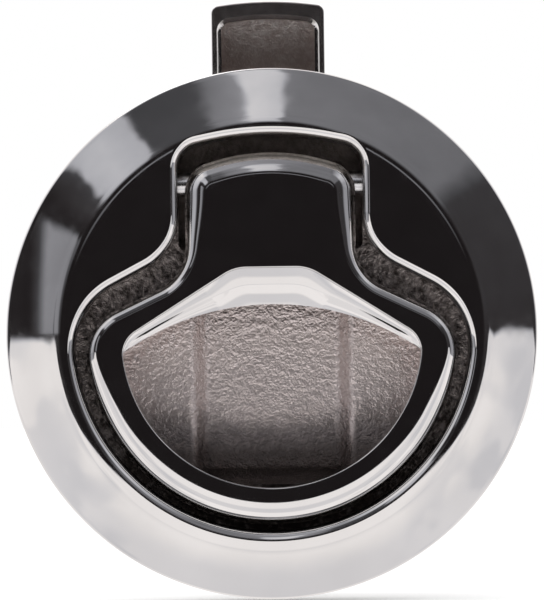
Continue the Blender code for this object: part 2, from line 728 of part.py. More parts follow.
def hinge_spring():
    """A torsion spring round the pin: one leg behind the handle, one on the recess floor."""
    half = NOTCH_HALF - HINGE_WIRE_RADIUS - GAP
    pin = Vector((0.0, PIN_Y, PIN_HEIGHT))
    leg_y = HANDLE_BACK + GAP + HINGE_WIRE_RADIUS - PIN_Y
    path = [pin + Vector((-half, leg_y, -HINGE_COIL_RADIUS * 4))]
    count = HINGE_SPRING_TURNS * COIL_STEPS
    start = math.atan2(-math.sqrt(max(0.0, HINGE_COIL_RADIUS ** 2 - leg_y ** 2)), leg_y)
    for k in range(count + COIL_STEPS // 4 + 1):
        angle = start + 2 * math.pi * k / COIL_STEPS
        x = -half + 2 * half * k / (count + COIL_STEPS // 4)
        path.append(pin + Vector((x, HINGE_COIL_RADIUS * math.cos(angle),
                                  HINGE_COIL_RADIUS * math.sin(angle))))
    end_y = CHANNEL_Y - GAP - HINGE_WIRE_RADIUS
    end_z = RECESS_TOP - RECESS_TOP_CORNER - HINGE_WIRE_RADIUS
    path.append(Vector((half, end_y, end_z)))
    item = sweep("hinge_spring", path, HINGE_WIRE_RADIUS, spring_steel())
    set_origin(item, pin)
    return item


def bevel_line(inset):
    """Where the slam bevel on the bolt's back starts and ends, moved into the bolt."""
    start = Vector((BOLT_BACK, BOLT_REACH - BOLT_BEVEL_LENGTH))
    end = Vector((BOLT_BACK - BOLT_BEVEL_DEPTH, BOLT_REACH))
    way = (end - start).normalized()
    shift = Vector((-way.y, -way.x)) * inset
    if shift.x > 0:
        shift = -shift
    return start + Vector((shift.x, -abs(shift.y))), way


def bolt_outline():
    """The bolt from the front, with its end on an arc about the latch's axis."""
    points = []
    inner = BOLT_HALF - BOLT_CORNER
    steps = SMALL_SEGMENTS // 2
    sweep_angle = math.asin(inner / BOLT_REACH)
    for k in range(steps + 1):
        angle = sweep_angle - 2 * sweep_angle * k / steps
        points.append((BOLT_REACH * math.sin(angle), BOLT_REACH * math.cos(angle)))
    shoulder = BOLT_REACH * math.cos(math.asin(BOLT_HALF / BOLT_REACH)) - BOLT_CORNER
    points.append((-BOLT_HALF, shoulder))
    points.append((-BOLT_HALF, BOLT_BOTTOM))
    points.append((BOLT_HALF, BOLT_BOTTOM))
    points.append((BOLT_HALF, shoulder))
    return points


def hollow_cutter():
    """The bolt's open front, which the handle's tails enter."""
    start, way = bevel_line(BOLT_FLOOR)
    top = BOLT_REACH - BOLT_END_WALL
    bend = crossing(start, way, (HOLLOW_FLOOR, 0.0), (0.0, 1.0))
    tip = crossing(start, way, (0.0, top), (1.0, 0.0))
    front = BOLT_FRONT - GAP
    outline = [(front, HOLLOW_BOTTOM), (HOLLOW_FLOOR, HOLLOW_BOTTOM), bend, tip, (front, top)]
    return side_prism("hollow_cutter", outline, -HOLLOW_HALF, HOLLOW_HALF)


def bevel_cutter():
    start, way = bevel_line(0.0)
    far = start + way * BOLT_REACH
    low = start - way * BOLT_REACH / 4
    outline = [tuple(low), (BIG, low.y), (BIG, far.y), tuple(far)]
    return side_prism("bevel_cutter", outline, -2 * BOLT_HALF, 2 * BOLT_HALF)


def latch_bolt():
    item = prism("latch_bolt", bolt_outline(), BOLT_FRONT, BOLT_BACK, polished_steel())
    cut(item, hollow_cutter())
    cut(item, bevel_cutter())
    for side, x in spring_places():
        low = (x, SPRING_Y, BOLT_BOTTOM - GAP)
        high = (x, SPRING_Y, SPRING_TOP + GAP)
        cut(item, rod(f"spring_pocket_{side}", SPRING_OUTER + GAP, low, high))
    set_origin(item, (0.0, SPRING_Y, BOLT_BOTTOM))
    return item


def spring_places():
    return [("left", -SPRING_SPACING / 2), ("right", SPRING_SPACING / 2)]


def bolt_springs():
    for side, x in spring_places():
        low = SPRING_SEAT + SPRING_WIRE_RADIUS
        high = SPRING_TOP - SPRING_WIRE_RADIUS
        path = []
        count = SPRING_TURNS * COIL_STEPS
        for k in range(count + 1):
            angle = 2 * math.pi * k / COIL_STEPS
            path.append(Vector((x + SPRING_RADIUS * math.cos(angle),
                                SPRING_Y + SPRING_RADIUS * math.sin(angle),
                                low + (high - low) * k / count)))
        item = sweep(f"bolt_spring_{side}", path, SPRING_WIRE_RADIUS, spring_steel())
        set_origin(item, (x, SPRING_Y, SPRING_SEAT))


def spring_guides():
    for side, x in spring_places():
        low = (x, SPRING_Y, SPRING_SEAT - GUIDE_SEAT)
        high = (x, SPRING_Y, GUIDE_TOP)
        rod(f"spring_guide_{side}", GUIDE_RADIUS, low, high, spring_steel())


def cover_plate(name, front, back, material):
    item = prism(name, block_outline(), front, back, material)
    for i, (x, z) in enumerate(screw_places()):
        start, end = (x, front - GAP, z), (x, back + GAP, z)
        cut(item, rod(f"{name}_hole_{i}", SCREW_RADIUS + GAP, start, end))
    return item


def rear_cover():
    return cover_plate("rear_cover", COVER_FRONT, COVER_BACK, cast_steel())


def cover_gasket():
    """A flat gasket, open where the bolt slides out."""
    item = cover_plate("cover_gasket", BLOCK_BACK + GAP, COVER_FRONT - GAP, black_rubber())
    right = [(CHANNEL_SLIDE_HALF, BOLT_REACH, GAP), (CHANNEL_SLIDE_HALF, SPRING_SEAT - GAP, GAP)]
    cut(item, prism("gasket_window", rounded(mirrored(right)), BLOCK_BACK, COVER_FRONT))
    return item


def cover_screws():
    for i, (x, z) in enumerate(screw_places()):
        seat = COVER_BACK + GAP
        profile = [
            (0.0, COVER_BACK - SCREW_LENGTH), (SCREW_RADIUS, COVER_BACK - SCREW_LENGTH),
            (SCREW_RADIUS, seat), (SCREW_HEAD_RADIUS, seat),
            (SCREW_HEAD_RADIUS, seat + SCREW_HEAD_HEIGHT),
            (SCREW_SOCKET_RADIUS, seat + SCREW_HEAD_HEIGHT),
            (SCREW_SOCKET_RADIUS, seat + SCREW_HEAD_HEIGHT - SCREW_SOCKET_DEPTH),
            (0.0, seat + SCREW_HEAD_HEIGHT - SCREW_SOCKET_DEPTH),
        ]
        item = turned(f"cover_screw_{i + 1}", profile, spring_steel(), SMALL_SEGMENTS)
        item.location = (x, 0.0, z)


def ring(name, outer, front, back, material):
    """A flat ring round the body."""
    profile = [(RING_INNER, front), (outer, front), (outer, back), (RING_INNER, back)]
    return turned(name, profile, material)


def mounting_nut():
    front = PANEL_THICKNESS + WASHER_THICKNESS + GAP
    back = front + NUT_THICKNESS
    outer = FLANGE_RADIUS - NUT_MARGIN
    item = ring("mounting_nut", outer, front, back, plated_steel())
    for i in range(NUT_NOTCHES):
        angle = math.pi * (2 * i + 1) / NUT_NOTCHES
        turn = Matrix.Rotation(angle, 2)
        low, high = outer - NUT_NOTCH_DEPTH, outer + NUT_NOTCH_DEPTH
        half = NUT_NOTCH_WIDTH / 2
        corners = [(low, -half), (high, -half), (high, half), (low, half)]
        outline = [tuple(turn @ Vector(corner)) for corner in corners]
        cut(item, prism(f"nut_notch_{i}", outline, front - GAP, back + GAP))
    return item


def nut_washer():
    back = PANEL_THICKNESS + WASHER_THICKNESS
    ring("nut_washer", FLANGE_RADIUS - WASHER_MARGIN, PANEL_THICKNESS, back, black_nylon())


def flange_gasket():
    outer = FLANGE_RADIUS - FLANGE_GASKET_MARGIN
    ring("flange_gasket", outer, -FLANGE_GASKET_THICKNESS, 0.0, black_rubber())


def handle_bumpers():
    """Rubber buttons set in the shelf, which the handle's back rests on."""
    for side, x, z in bumper_places():
        front = (x, HANDLE_BACK + GAP, z)
        back = (x, HANDLE_BACK + GAP + BUMPER_LENGTH, z)
        rod(f"handle_bumper_{side}", BUMPER_RADIUS, front, back, black_rubber())


clear_scene()
housing()
pull_handle()
hinge_pin()
hinge_spring()
latch_bolt()
bolt_springs()
spring_guides()
rear_cover()
cover_gasket()
cover_screws()
mounting_nut()
nut_washer()
flange_gasket()
handle_bumpers()
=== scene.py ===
"""Looks of the flush pull latch: polished castings, a cast pocket, and a plain white studio."""

import math

import bmesh
import bpy
from mathutils import Matrix, Vector, noise


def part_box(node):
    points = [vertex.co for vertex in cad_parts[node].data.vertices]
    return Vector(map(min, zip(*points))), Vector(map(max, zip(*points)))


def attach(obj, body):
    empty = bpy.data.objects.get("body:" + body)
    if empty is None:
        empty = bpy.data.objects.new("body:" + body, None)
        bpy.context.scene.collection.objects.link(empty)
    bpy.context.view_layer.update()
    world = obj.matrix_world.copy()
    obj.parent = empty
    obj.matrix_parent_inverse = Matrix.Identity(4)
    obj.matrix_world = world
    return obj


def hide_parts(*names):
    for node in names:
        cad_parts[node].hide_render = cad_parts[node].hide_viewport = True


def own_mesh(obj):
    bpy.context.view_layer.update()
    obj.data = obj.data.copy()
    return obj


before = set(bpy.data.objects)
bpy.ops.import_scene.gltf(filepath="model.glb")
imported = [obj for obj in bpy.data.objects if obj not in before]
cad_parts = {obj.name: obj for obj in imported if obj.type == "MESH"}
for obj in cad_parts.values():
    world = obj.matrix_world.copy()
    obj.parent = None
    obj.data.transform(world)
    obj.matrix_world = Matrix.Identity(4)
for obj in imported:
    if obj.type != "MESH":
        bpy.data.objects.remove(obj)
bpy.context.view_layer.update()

MM = 0.001
GAP = 0.3 * MM

# Driving sizes of the latch, as in the solids
BODY_RADIUS = 31.2 * MM
RECESS_RADIUS = 28.4 * MM
RECESS_TOP = 28.5 * MM
FLANGE_RADIUS = 38.0 * MM
FACE_RADIUS = 28.6 * MM
RIDGE_FILLET = 9.0 * MM
RIM_THICKNESS = 1.65 * MM
RIM_FILLET = 0.4 * MM
CONE_BOW = 0.07 * MM
NECK_HALF = 13.25 * MM
NECK_FOOT = 12.1 * MM
MOUTH_FILLET = 1.25 * MM
PIN_HEIGHT = 21.5 * MM
PIN_RADIUS = 1.75 * MM
HANDLE_ROUND_WIDTH = 3.3 * MM
HANDLE_SHOULDER_WIDTH = 1.4 * MM
HANDLE_SIDE_DEPTH = 3.1 * MM
HANDLE_THICKNESS = 6.8 * MM
HANDLE_DRAFT = 0.45 * MM
HUB_RADIUS = 3.9 * MM
HUB_INNER = 4.4 * MM
HUB_OUTER = 11.25 * MM
TAIL_RADIUS = 1.6 * MM
TAIL_LENGTH = 16.0 * MM
OPENING_RADIUS = 21.4 * MM
OPENING_DROP = 0.6 * MM
SCOOP_TOP = 4.2 * MM
SCOOP_CURVE = 37.2 * MM
SCOOP_CREASE_DEPTH = 1.0 * MM
SCOOP_DEPTH = 2.4 * MM
SCOOP_FADE = 4.0 * MM
POCKET_MARGIN = 0.6 * MM
POCKET_SWEEP = 10.0 * MM
POCKET_GRAIN = 0.04 * MM
CHANNEL_HALF = 10.5 * MM
CHANNEL_EDGE = 1.5 * MM
CHANNEL_TOP_HALF = 11.2 * MM
CHANNEL_BOTTOM = 20.0 * MM
BOLT_HALF = 8.25 * MM
BOLT_REACH = 48.3 * MM
HOLLOW_HALF = 6.8 * MM
HOLLOW_TOP = 45.8 * MM
HOLLOW_FLARE = 0.65 * MM
HOLLOW_BOTTOM = 19.0 * MM
BOLT_WALL = 1.8 * MM
COIL_X = 4.6 * MM
BLOCK_HALF = 15.0 * MM
SCREW_HOLE_RADIUS = 1.8 * MM
NUT_BORE = 31.5 * MM

# Places from front to back
FACE_Y = -5.3 * MM
FLANGE_BACK = -1.3 * MM
HANDLE_BACK = FACE_Y + HANDLE_THICKNESS
PIN_Y = 1.4 * MM
SHELF_Y = 3.0 * MM
POCKET_Y = 9.0 * MM
CHANNEL_Y = 11.0 * MM
BODY_BACK = 13.0 * MM
BOLT_FRONT = 13.3 * MM
SPRING_Y = 17.8 * MM
BOLT_BACK = 22.3 * MM
BLOCK_BACK = 21.4 * MM
SEAL_FRONT = 21.7 * MM
SEAL_BACK = 22.3 * MM
COVER_FRONT = 22.6 * MM
COVER_BACK = 24.6 * MM
SCREW_TIP = 15.6 * MM

# Fineness
RING_POINTS = 640
ARC_STEP = math.radians(1.0)
COIL_STEPS = 24
WIRE_SIDES = 12
SAME_POINT = 0.002 * MM


def link(name, mesh, material=None):
    item = bpy.data.objects.new(name, mesh)
    bpy.context.scene.collection.objects.link(item)
    if material:
        mesh.materials.append(material)
    return item


def mesh_of(name, verts, faces):
    """A mesh without doubled points, its faces pointing out."""
    mesh = bpy.data.meshes.new(name)
    mesh.from_pydata(verts, [], faces)
    bm = bmesh.new()
    bm.from_mesh(mesh)
    bmesh.ops.remove_doubles(bm, verts=bm.verts, dist=SAME_POINT)
    bmesh.ops.recalc_face_normals(bm, faces=bm.faces)
    if bm.calc_volume(signed=True) < 0:
        bmesh.ops.reverse_faces(bm, faces=bm.faces)
    bm.to_mesh(mesh)
    bm.free()
    return mesh


def loft(name, rings, material=None, cyclic=False):
    """A closed form through rings of equal counts, capped or joined last to first."""
    count = len(rings[0])
    verts = [tuple(point) for ring in rings for point in ring]
    faces = []
    for k in range(len(rings) if cyclic else len(rings) - 1):
        low = k * count
        high = (k + 1) % len(rings) * count
        for i in range(count):
            j = (i + 1) % count
            faces.append((low + i, low + j, high + j, high + i))
    if not cyclic:
        faces.append(tuple(range(count)))
        faces.append(tuple(reversed(range(len(verts) - count, len(verts)))))
    return link(name, mesh_of(name, verts, faces), material)


def level(outline, y):
    return [(x, y, z) for x, z in outline]


def prism(name, outline, front, back, material=None):
    return loft(name, [level(outline, front), level(outline, back)], material)


def side_prism(name, outline, low, high):
    return loft(name, [[(x, y, z) for y, z in outline] for x in (low, high)])


def circle(radius, count):
    turn = 2 * math.pi / count
    return [(radius * math.cos(turn * i), radius * math.sin(turn * i)) for i in range(count)]


def turned(name, profile, centre=(0.0, 0.0), material=None, segments=360):
    """A solid turned about a line along Y from rings of radius and Y, joined or closed on the axis."""
    rings = []
    for radius, y in profile:
        rings.append([(centre[0] + x, y, centre[1] + z) for x, z in circle(radius, segments)])
    on_axis = profile[0][0] == 0
    return loft(name, rings, material, cyclic=not on_axis)


def rod(name, radius, start, end, material=None, segments=64):
    start, end = Vector(start), Vector(end)
    turn = (end - start).to_track_quat("Z", "Y").to_matrix()
    rings = []
    for centre in (start, end):
        rings.append([centre + turn @ Vector((x, y, 0)) for x, y in circle(radius, segments)])
    return loft(name, rings, material)


def cross_rod(name, radius, low, high, material=None, segments=64):
    """A rod on the hinge's line, between two places from left to right."""
    return rod(name, radius, (low, PIN_Y, PIN_HEIGHT), (high, PIN_Y, PIN_HEIGHT), material, segments)


def bolt_rod(name, radius, x, low, high, material=None, segments=64):
    """An upright rod in the line of a bolt spring."""
    return rod(name, radius, (x, SPRING_Y, low), (x, SPRING_Y, high), material, segments)


def sweep(name, path, radius, material):
    """A round wire along a path."""
    rings = []
    normal = None
    for i, point in enumerate(path):
        ahead = (path[min(i + 1, len(path) - 1)] - path[max(i - 1, 0)]).normalized()
        if normal is None:
            normal = ahead.orthogonal()
        normal = (normal - ahead * normal.dot(ahead)).normalized()
        side = ahead.cross(normal)
        rings.append([point + normal * x + side * y for x, y in circle(radius, WIRE_SIDES)])
    return loft(name, rings, material)


def combine(item, cutter, operation="DIFFERENCE"):
    """Subtract, add or intersect a helper form, and delete it."""
    modifier = item.modifiers.new(cutter.name, "BOOLEAN")
    modifier.object = cutter
    modifier.operation = operation
    modifier.solver = "MANIFOLD"
    apply_modifiers(item)
    bpy.data.objects.remove(cutter, do_unlink=True)


def apply_modifiers(item):
    graph = bpy.context.evaluated_depsgraph_get()
    graph.update()
    done = bpy.data.meshes.new_from_object(item.evaluated_get(graph))
    item.modifiers.clear()
    item.data = done


def bevel(item, width, segments=3, angle=40.0):
    modifier = item.modifiers.new("edge_rounding", "BEVEL")
    modifier.width = width
    modifier.segments = segments
    modifier.limit_method = "ANGLE"
    modifier.angle_limit = math.radians(angle)
    modifier.use_clamp_overlap = True


def smooth(item, angle=34.0):
    """Smooth shading whose normals follow the larger faces, with true sharp edges."""
    apply_modifiers(item)
    item.data.shade_smooth()
    item.data.set_sharp_from_angle(angle=math.radians(angle))
    modifier = item.modifiers.new("weighted_normals", "WEIGHTED_NORMAL")
    modifier.keep_sharp = True
    modifier.weight = 100


def true_flats(item):
    """Exact normals on the flat front, so that its polish reflects one plain tone."""
    apply_modifiers(item)
    mesh = item.data
    normals = [normal.vector.copy() for normal in mesh.corner_normals]
    for face in mesh.polygons:
        if face.normal.y > -0.95:
            continue
        for loop in face.loop_indices:
            if mesh.vertices[mesh.loops[loop].vertex_index].co.y < FACE_Y + SAME_POINT / 4:
                normals[loop] = Vector((0.0, -1.0, 0.0))
    mesh.normals_split_custom_set(normals)


def paint(item, materials, rule=None):
    """Give each face the material whose index the rule returns for its centre and normal."""
    item.data.materials.clear()
    for material in materials:
        item.data.materials.append(material)
    for face in item.data.polygons:
        face.material_index = rule(face.center, face.normal) if rule else 0


def place(item, body, node):
    """Hang a piece on the body it rides on, and hide the solid it stands for."""
    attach(item, body)
    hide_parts(node)


def settle(item, node, edge=0.0, segments=3, angle=40.0, crease=34.0):
    """Soft edges and smooth shading for a piece of the fixed body."""
    if edge:
        bevel(item, edge, segments, angle)
    smooth(item, crease)
    place(item, "root", node)


def rounded(corners):
    """An outline from corners of x, z and fillet radius."""
    count = len(corners)
    places = [Vector(corner[:2]) for corner in corners]
    points = []
    for i, here in enumerate(places):
        back = (places[i - 1] - here).normalized()
        ahead = (places[(i + 1) % count] - here).normalized()
        half = math.acos(max(-1.0, min(1.0, back.dot(ahead)))) / 2
        radius = corners[i][2]
        touch = radius / math.tan(half)
        centre = here + (back + ahead).normalized() * (radius / math.sin(half))
        first = here + back * touch - centre
        last = here + ahead * touch - centre
        start = math.atan2(first.y, first.x)
        turn = (math.atan2(last.y, last.x) - start + math.pi) % (2 * math.pi) - math.pi
        steps = max(2, math.ceil(abs(turn) / ARC_STEP))
        for k in range(steps + 1):
            angle = start + turn * k / steps
            points.append(centre + radius * Vector((math.cos(angle), math.sin(angle))))
    return points


def crossing(point_a, way_a, point_b, way_b):
    det = way_b[0] * way_a[1] - way_a[0] * way_b[1]
    dx, dz = point_b[0] - point_a[0], point_b[1] - point_a[1]
    share = (way_b[0] * dz - way_b[1] * dx) / det
    return point_a[0] + share * way_a[0], point_a[1] + share * way_a[1]


def mirrored(right):
    return right + [(-x, z, radius) for x, z, radius in reversed(right)]


def bowl_corners(radius, drop):
    """The lower round, and the line that runs into it on the right."""
    enter = math.radians(8.0)
    start = (radius * math.cos(enter), -drop - radius * math.sin(enter))
    way = (math.sin(enter), math.cos(enter))
    span = (math.pi / 2 - enter) / 2
    reach = radius / math.cos(span / 2)
    corners = []
    for share in (0.5, 1.5):
        angle = enter + span * share
        corners.append((reach * math.cos(angle), -drop - reach * math.sin(angle), radius))
    return start, way, corners


def neck_corners(neck_half, top, top_curve, corner):
    lean = 0.62 * math.asin(neck_half / top_curve)
    touch = (top_curve * math.sin(lean), top - top_curve * (1 - math.cos(lean)))
    side = crossing(touch, (math.cos(lean), -math.sin(lean)), (neck_half, 0.0), (0.0, 1.0))
    return [(top_curve * math.tan(lean / 2), top, top_curve), (side[0], side[1], corner)]


def keyhole(radius, drop, neck, height, slope, inner, outer):
    """A round bowl with sloping shoulders under a narrow neck."""
    start, way, bowl = bowl_corners(radius, drop)
    down = (math.cos(slope), -math.sin(slope))
    joint = crossing((neck[0], height), down, start, way)
    right = neck_corners(*neck)
    right += [(neck[0], height, inner), (joint[0], joint[1], outer)]
    return rounded(mirrored(right + bowl))


# Half width and top of the recess's neck, the curve of its top and its corner
RECESS_NECK = (NECK_HALF, RECESS_TOP, 42.0 * MM, 3.6 * MM)


def recess_outline():
    return keyhole(RECESS_RADIUS, 0.0, RECESS_NECK, NECK_FOOT, math.radians(27.8), 8.5 * MM, 10.5 * MM)


def handle_outline():
    neck = (11.85 * MM, 25.6 * MM, 27.0 * MM, 4.0 * MM)
    return keyhole(26.4 * MM, 0.6 * MM, neck, 8.2 * MM, math.radians(25.5), 7.0 * MM, 7.0 * MM)


def opening_outline():
    start, way, bowl = bowl_corners(OPENING_RADIUS, OPENING_DROP)
    corner = (5.2 * MM, 9.4 * MM)
    slope = math.radians(32.0)
    joint = crossing(corner, (math.cos(slope), -math.sin(slope)), start, way)
    right = [(corner[0], corner[1], 6.0 * MM), (joint[0], joint[1], 4.0 * MM)]
    return rounded(mirrored(right + bowl))


def spaced(outline, count):
    """The outline at equal steps of its length."""
    points = [Vector(point) for point in outline]
    points.append(points[0].copy())
    lengths = [0.0]
    for a, b in zip(points, points[1:]):
        lengths.append(lengths[-1] + (b - a).length)
    result = []
    k = 0
    for i in range(count):
        want = lengths[-1] * i / count
        while lengths[k + 1] < want:
            k += 1
        span = max(1e-12, lengths[k + 1] - lengths[k])
        result.append(points[k].lerp(points[k + 1], (want - lengths[k]) / span))
    return result


def outward(points):
    """Unit normals of an outline, pointing out."""
    after = points[1:] + points[:1]
    area = sum(a.x * b.y - b.x * a.y for a, b in zip(points, after))
    sense = 1.0 if area > 0 else -1.0
    normals = []
    for i, ahead in enumerate(after):
        along = (ahead - points[i - 1]).normalized()
        normals.append(Vector((sense * along.y, -sense * along.x)))
    return normals


def moved(points, normals, distance):
    return [point + normal * distance for point, normal in zip(points, normals)]


def quarter(steps):
    """Steps round a quarter circle of radius 1: one measure grows from 0 to 1, the other shrinks to 0."""
    turns = [math.pi / 2 * k / steps for k in range(steps + 1)]
    return [(1 - math.cos(turn), 1 - math.sin(turn)) for turn in turns]


def eased(value, low, high):
    """0 at low, 1 at high, smooth between."""
    share = min(1.0, max(0.0, (value - low) / (high - low)))
    return share * share * (3 - 2 * share)


def ray_reach(outline, centre, angle):
    """How far a line from the centre at an angle runs to the outline."""
    way = (math.cos(angle), math.sin(angle))
    best = 0.0
    ax, az = outline[-1][0] - centre[0], outline[-1][1] - centre[1]
    side_a = way[0] * az - way[1] * ax
    for b in outline:
        bx, bz = b[0] - centre[0], b[1] - centre[1]
        side_b = way[0] * bz - way[1] * bx
        if side_a * side_b <= 0 and side_a != side_b:
            share = side_a / (side_a - side_b)
            reach = way[0] * (ax + share * (bx - ax)) + way[1] * (az + share * (bz - az))
            best = max(best, reach)
        ax, az, side_a = bx, bz, side_b
    return best


def cone_of_flange():
    """The cone's angle, tangent to the ridge's fillet and ending at the rim's edge."""
    out = FLANGE_RADIUS - RIM_FILLET - FACE_RADIUS
    rise = FACE_Y + RIDGE_FILLET - (FLANGE_BACK - RIM_THICKNESS)
    return math.asin(RIDGE_FILLET / math.hypot(out, rise)) - math.atan2(rise, out)


CONE_ANGLE = cone_of_flange()
RIDGE_END = FACE_RADIUS + RIDGE_FILLET * math.sin(CONE_ANGLE)


def flange_y(radius):
    """Depth of the flange's front at a radius: flat face, ridge, then cone."""
    if radius <= FACE_RADIUS:
        return FACE_Y
    if radius <= RIDGE_END:
        out = radius - FACE_RADIUS
        return FACE_Y + RIDGE_FILLET - math.sqrt(RIDGE_FILLET ** 2 - out ** 2)
    start = FACE_Y + RIDGE_FILLET * (1 - math.cos(CONE_ANGLE))
    share = min(1.0, (radius - RIDGE_END) / (FLANGE_RADIUS - RIM_FILLET - RIDGE_END))
    bow = CONE_BOW * (1 - (2 * share - 1) ** 2)
    return start + (radius - RIDGE_END) * math.tan(CONE_ANGLE) - bow


def polar(angles, radii, y):
    return [(r * math.cos(a), y, r * math.sin(a)) for a, r in zip(angles, radii)]


def flange_ring(angles, radii):
    return [(r * math.cos(a), flange_y(r), r * math.sin(a)) for a, r in zip(angles, radii)]


def thread_radius(angle, y):
    """Radius of the body's outside: a fine thread between two plain lands."""
    pitch, depth, start, end = 1.5 * MM, 0.55 * MM, 0.9 * MM, 12.3 * MM
    land = BODY_RADIUS - 0.05 * MM
    if y < start or y > end:
        return land
    turn = (y / pitch - angle / (2 * math.pi)) % 1.0
    ease = min(1.0, (y - start) / pitch, (end - y) / pitch)
    wave = abs(2 * turn - 1)
    return land - depth * ease * min(1.0, max(0.0, 1.3 * wave - 0.15))


def housing_shell():
    """Recess, mouth, flat face, ridge, cone, rim and threaded body as one lofted skin."""
    line = spaced(recess_outline(), RING_POINTS)
    normals = outward(line)
    mouth = moved(line, normals, MOUTH_FILLET)
    angles = [math.atan2(point.y, point.x) for point in mouth]
    reach = [point.length for point in mouth]
    brim = [flange_y(r) for r in reach]
    rings = [level(line, SHELF_Y), level(line, FACE_Y + 1.6 * MOUTH_FILLET)]
    for out, back in quarter(14):
        spots = moved(line, normals, MOUTH_FILLET * out)
        rings.append([(spot.x, y + MOUTH_FILLET * back, spot.y) for spot, y in zip(spots, brim)])
    flat_end = [max(r + 0.06 * MM, FACE_RADIUS) for r in reach]
    for share in (0.02, 0.3, 0.6, 0.97, 1.0):
        radii = [r + (end - r) * share for r, end in zip(reach, flat_end)]
        rings.append(flange_ring(angles, radii))
    steps = 18
    for k in range(1, steps + 1):
        radii = [end + (RIDGE_END - end) * k / steps for end in flat_end]
        rings.append(flange_ring(angles, radii))
    rim = FLANGE_RADIUS - RIM_FILLET
    rim_touch = rim + RIM_FILLET * math.sin(CONE_ANGLE)
    rim_y = flange_y(rim_touch) + RIM_FILLET * math.cos(CONE_ANGLE)
    profile = []
    for k in range(1, 15):
        radius = RIDGE_END + (rim_touch - RIDGE_END) * k / 14
        profile.append((radius, flange_y(radius)))
    for k in range(1, 7):
        turn = CONE_ANGLE + (math.pi / 2 - CONE_ANGLE) * k / 6
        profile.append((rim + RIM_FILLET * math.sin(turn), rim_y - RIM_FILLET * math.cos(turn)))
    chamfer = 0.2 * MM
    profile += [(FLANGE_RADIUS, FLANGE_BACK - chamfer), (FLANGE_RADIUS - chamfer, FLANGE_BACK)]
    profile += [(BODY_RADIUS, FLANGE_BACK)]
    for radius, y in profile:
        rings.append(polar(angles, [radius] * RING_POINTS, y))
    steps = 50
    for k in range(steps + 1):
        y = 0.6 * MM + (BODY_BACK - 1.0 * MM) * k / steps
        rings.append(polar(angles, [thread_radius(a, y) for a in angles], y))
    rings.append(polar(angles, [BODY_RADIUS - 0.5 * MM] * RING_POINTS, BODY_BACK))
    return loft("latch_housing", rings)


def pocket_depth(x, z):
    """The pocket's floor: a shallow channel with soft edges, swept forward at the bottom."""
    ease = eased(abs(x), CHANNEL_HALF + CHANNEL_EDGE, CHANNEL_HALF - CHANNEL_EDGE)
    end = eased(z, -CHANNEL_BOTTOM - 1.0 * MM, -CHANNEL_BOTTOM + 0.6 * MM)
    depth = POCKET_Y + (CHANNEL_Y - POCKET_Y) * ease * end
    centre_z = POCKET_SWEEP - OPENING_RADIUS - OPENING_DROP - POCKET_MARGIN
    below = min(1.0, max(0.0, (centre_z - z) / POCKET_SWEEP))
    depth += POCKET_SWEEP * (math.sqrt(1 - min(0.998, below) ** 2) - 1)
    spot = Vector((x, 0.0, z)) / (0.9 * MM)
    ripple = noise.noise(spot) + 0.6 * noise.noise(spot * 2.1)
    return depth + POCKET_GRAIN * ripple


def pocket_form():
    """What is hollowed out behind the finger opening, with a cast floor."""
    half, low, high, pitch = 24.0 * MM, -23.4 * MM, 13.0 * MM, 0.34 * MM
    columns = round(2 * half / pitch)
    rows = round((high - low) / pitch)
    across = [-half + 2 * half * j / columns for j in range(columns + 1)]
    rings = []
    for i in range(rows + 1):
        z = low + (high - low) * i / rows
        ring = [(x, pocket_depth(x, z), z) for x in across]
        rings.append(ring + [(x, FACE_Y + 2 * MOUTH_FILLET, z) for x in reversed(across)])
    item = loft("pocket_form", rings)
    line = spaced(opening_outline(), 360)
    walls = moved(line, outward(line), POCKET_MARGIN)
    combine(item, prism("pocket_walls", walls, FACE_Y, BODY_BACK), "INTERSECT")
    return item


def neck_form():
    right = neck_corners(*RECESS_NECK)
    right.append((NECK_HALF, NECK_FOOT, 0.9 * MM))
    return prism("neck_form", rounded(mirrored(right)), FACE_Y + 2 * MOUTH_FILLET, POCKET_Y + 0.5 * MM)


def channel_form():
    """The channel's upper end, behind the handle's neck."""
    right = [(CHANNEL_TOP_HALF, 24.9 * MM, 1.8 * MM), (CHANNEL_TOP_HALF, 5.5 * MM, 0.2 * MM)]
    return prism("channel_form", rounded(mirrored(right)), SHELF_Y, CHANNEL_Y)


def block_outline():
    right = [(9.5 * MM, 29.09 * MM, 1.5 * MM), (BLOCK_HALF, 24.47 * MM, 3.0 * MM),
             (BLOCK_HALF, -18.0 * MM, 3.0 * MM)]
    return rounded(mirrored(right))


def screw_places():
    across, above, below = 12.0 * MM, 21.47 * MM, -15.0 * MM
    return [(side * across, z) for z in (above, below) for side in (-1, 1)]


def drill_screws(item, front, back):
    """The four screw holes, between two depths."""
    for i, (x, z) in enumerate(screw_places()):
        combine(item, rod(f"screw_hole_{i}", SCREW_HOLE_RADIUS, (x, front, z), (x, back, z)))


def middle(low, high):
    """The X and Z between the corners of a box."""
    return (low[0] + high[0]) / 2, (low[2] + high[2]) / 2


def slide_outline():
    half, low = BOLT_HALF + GAP, -14.3 * MM
    return [(-half, low), (half, low), (half, BOLT_REACH), (-half, BOLT_REACH)]


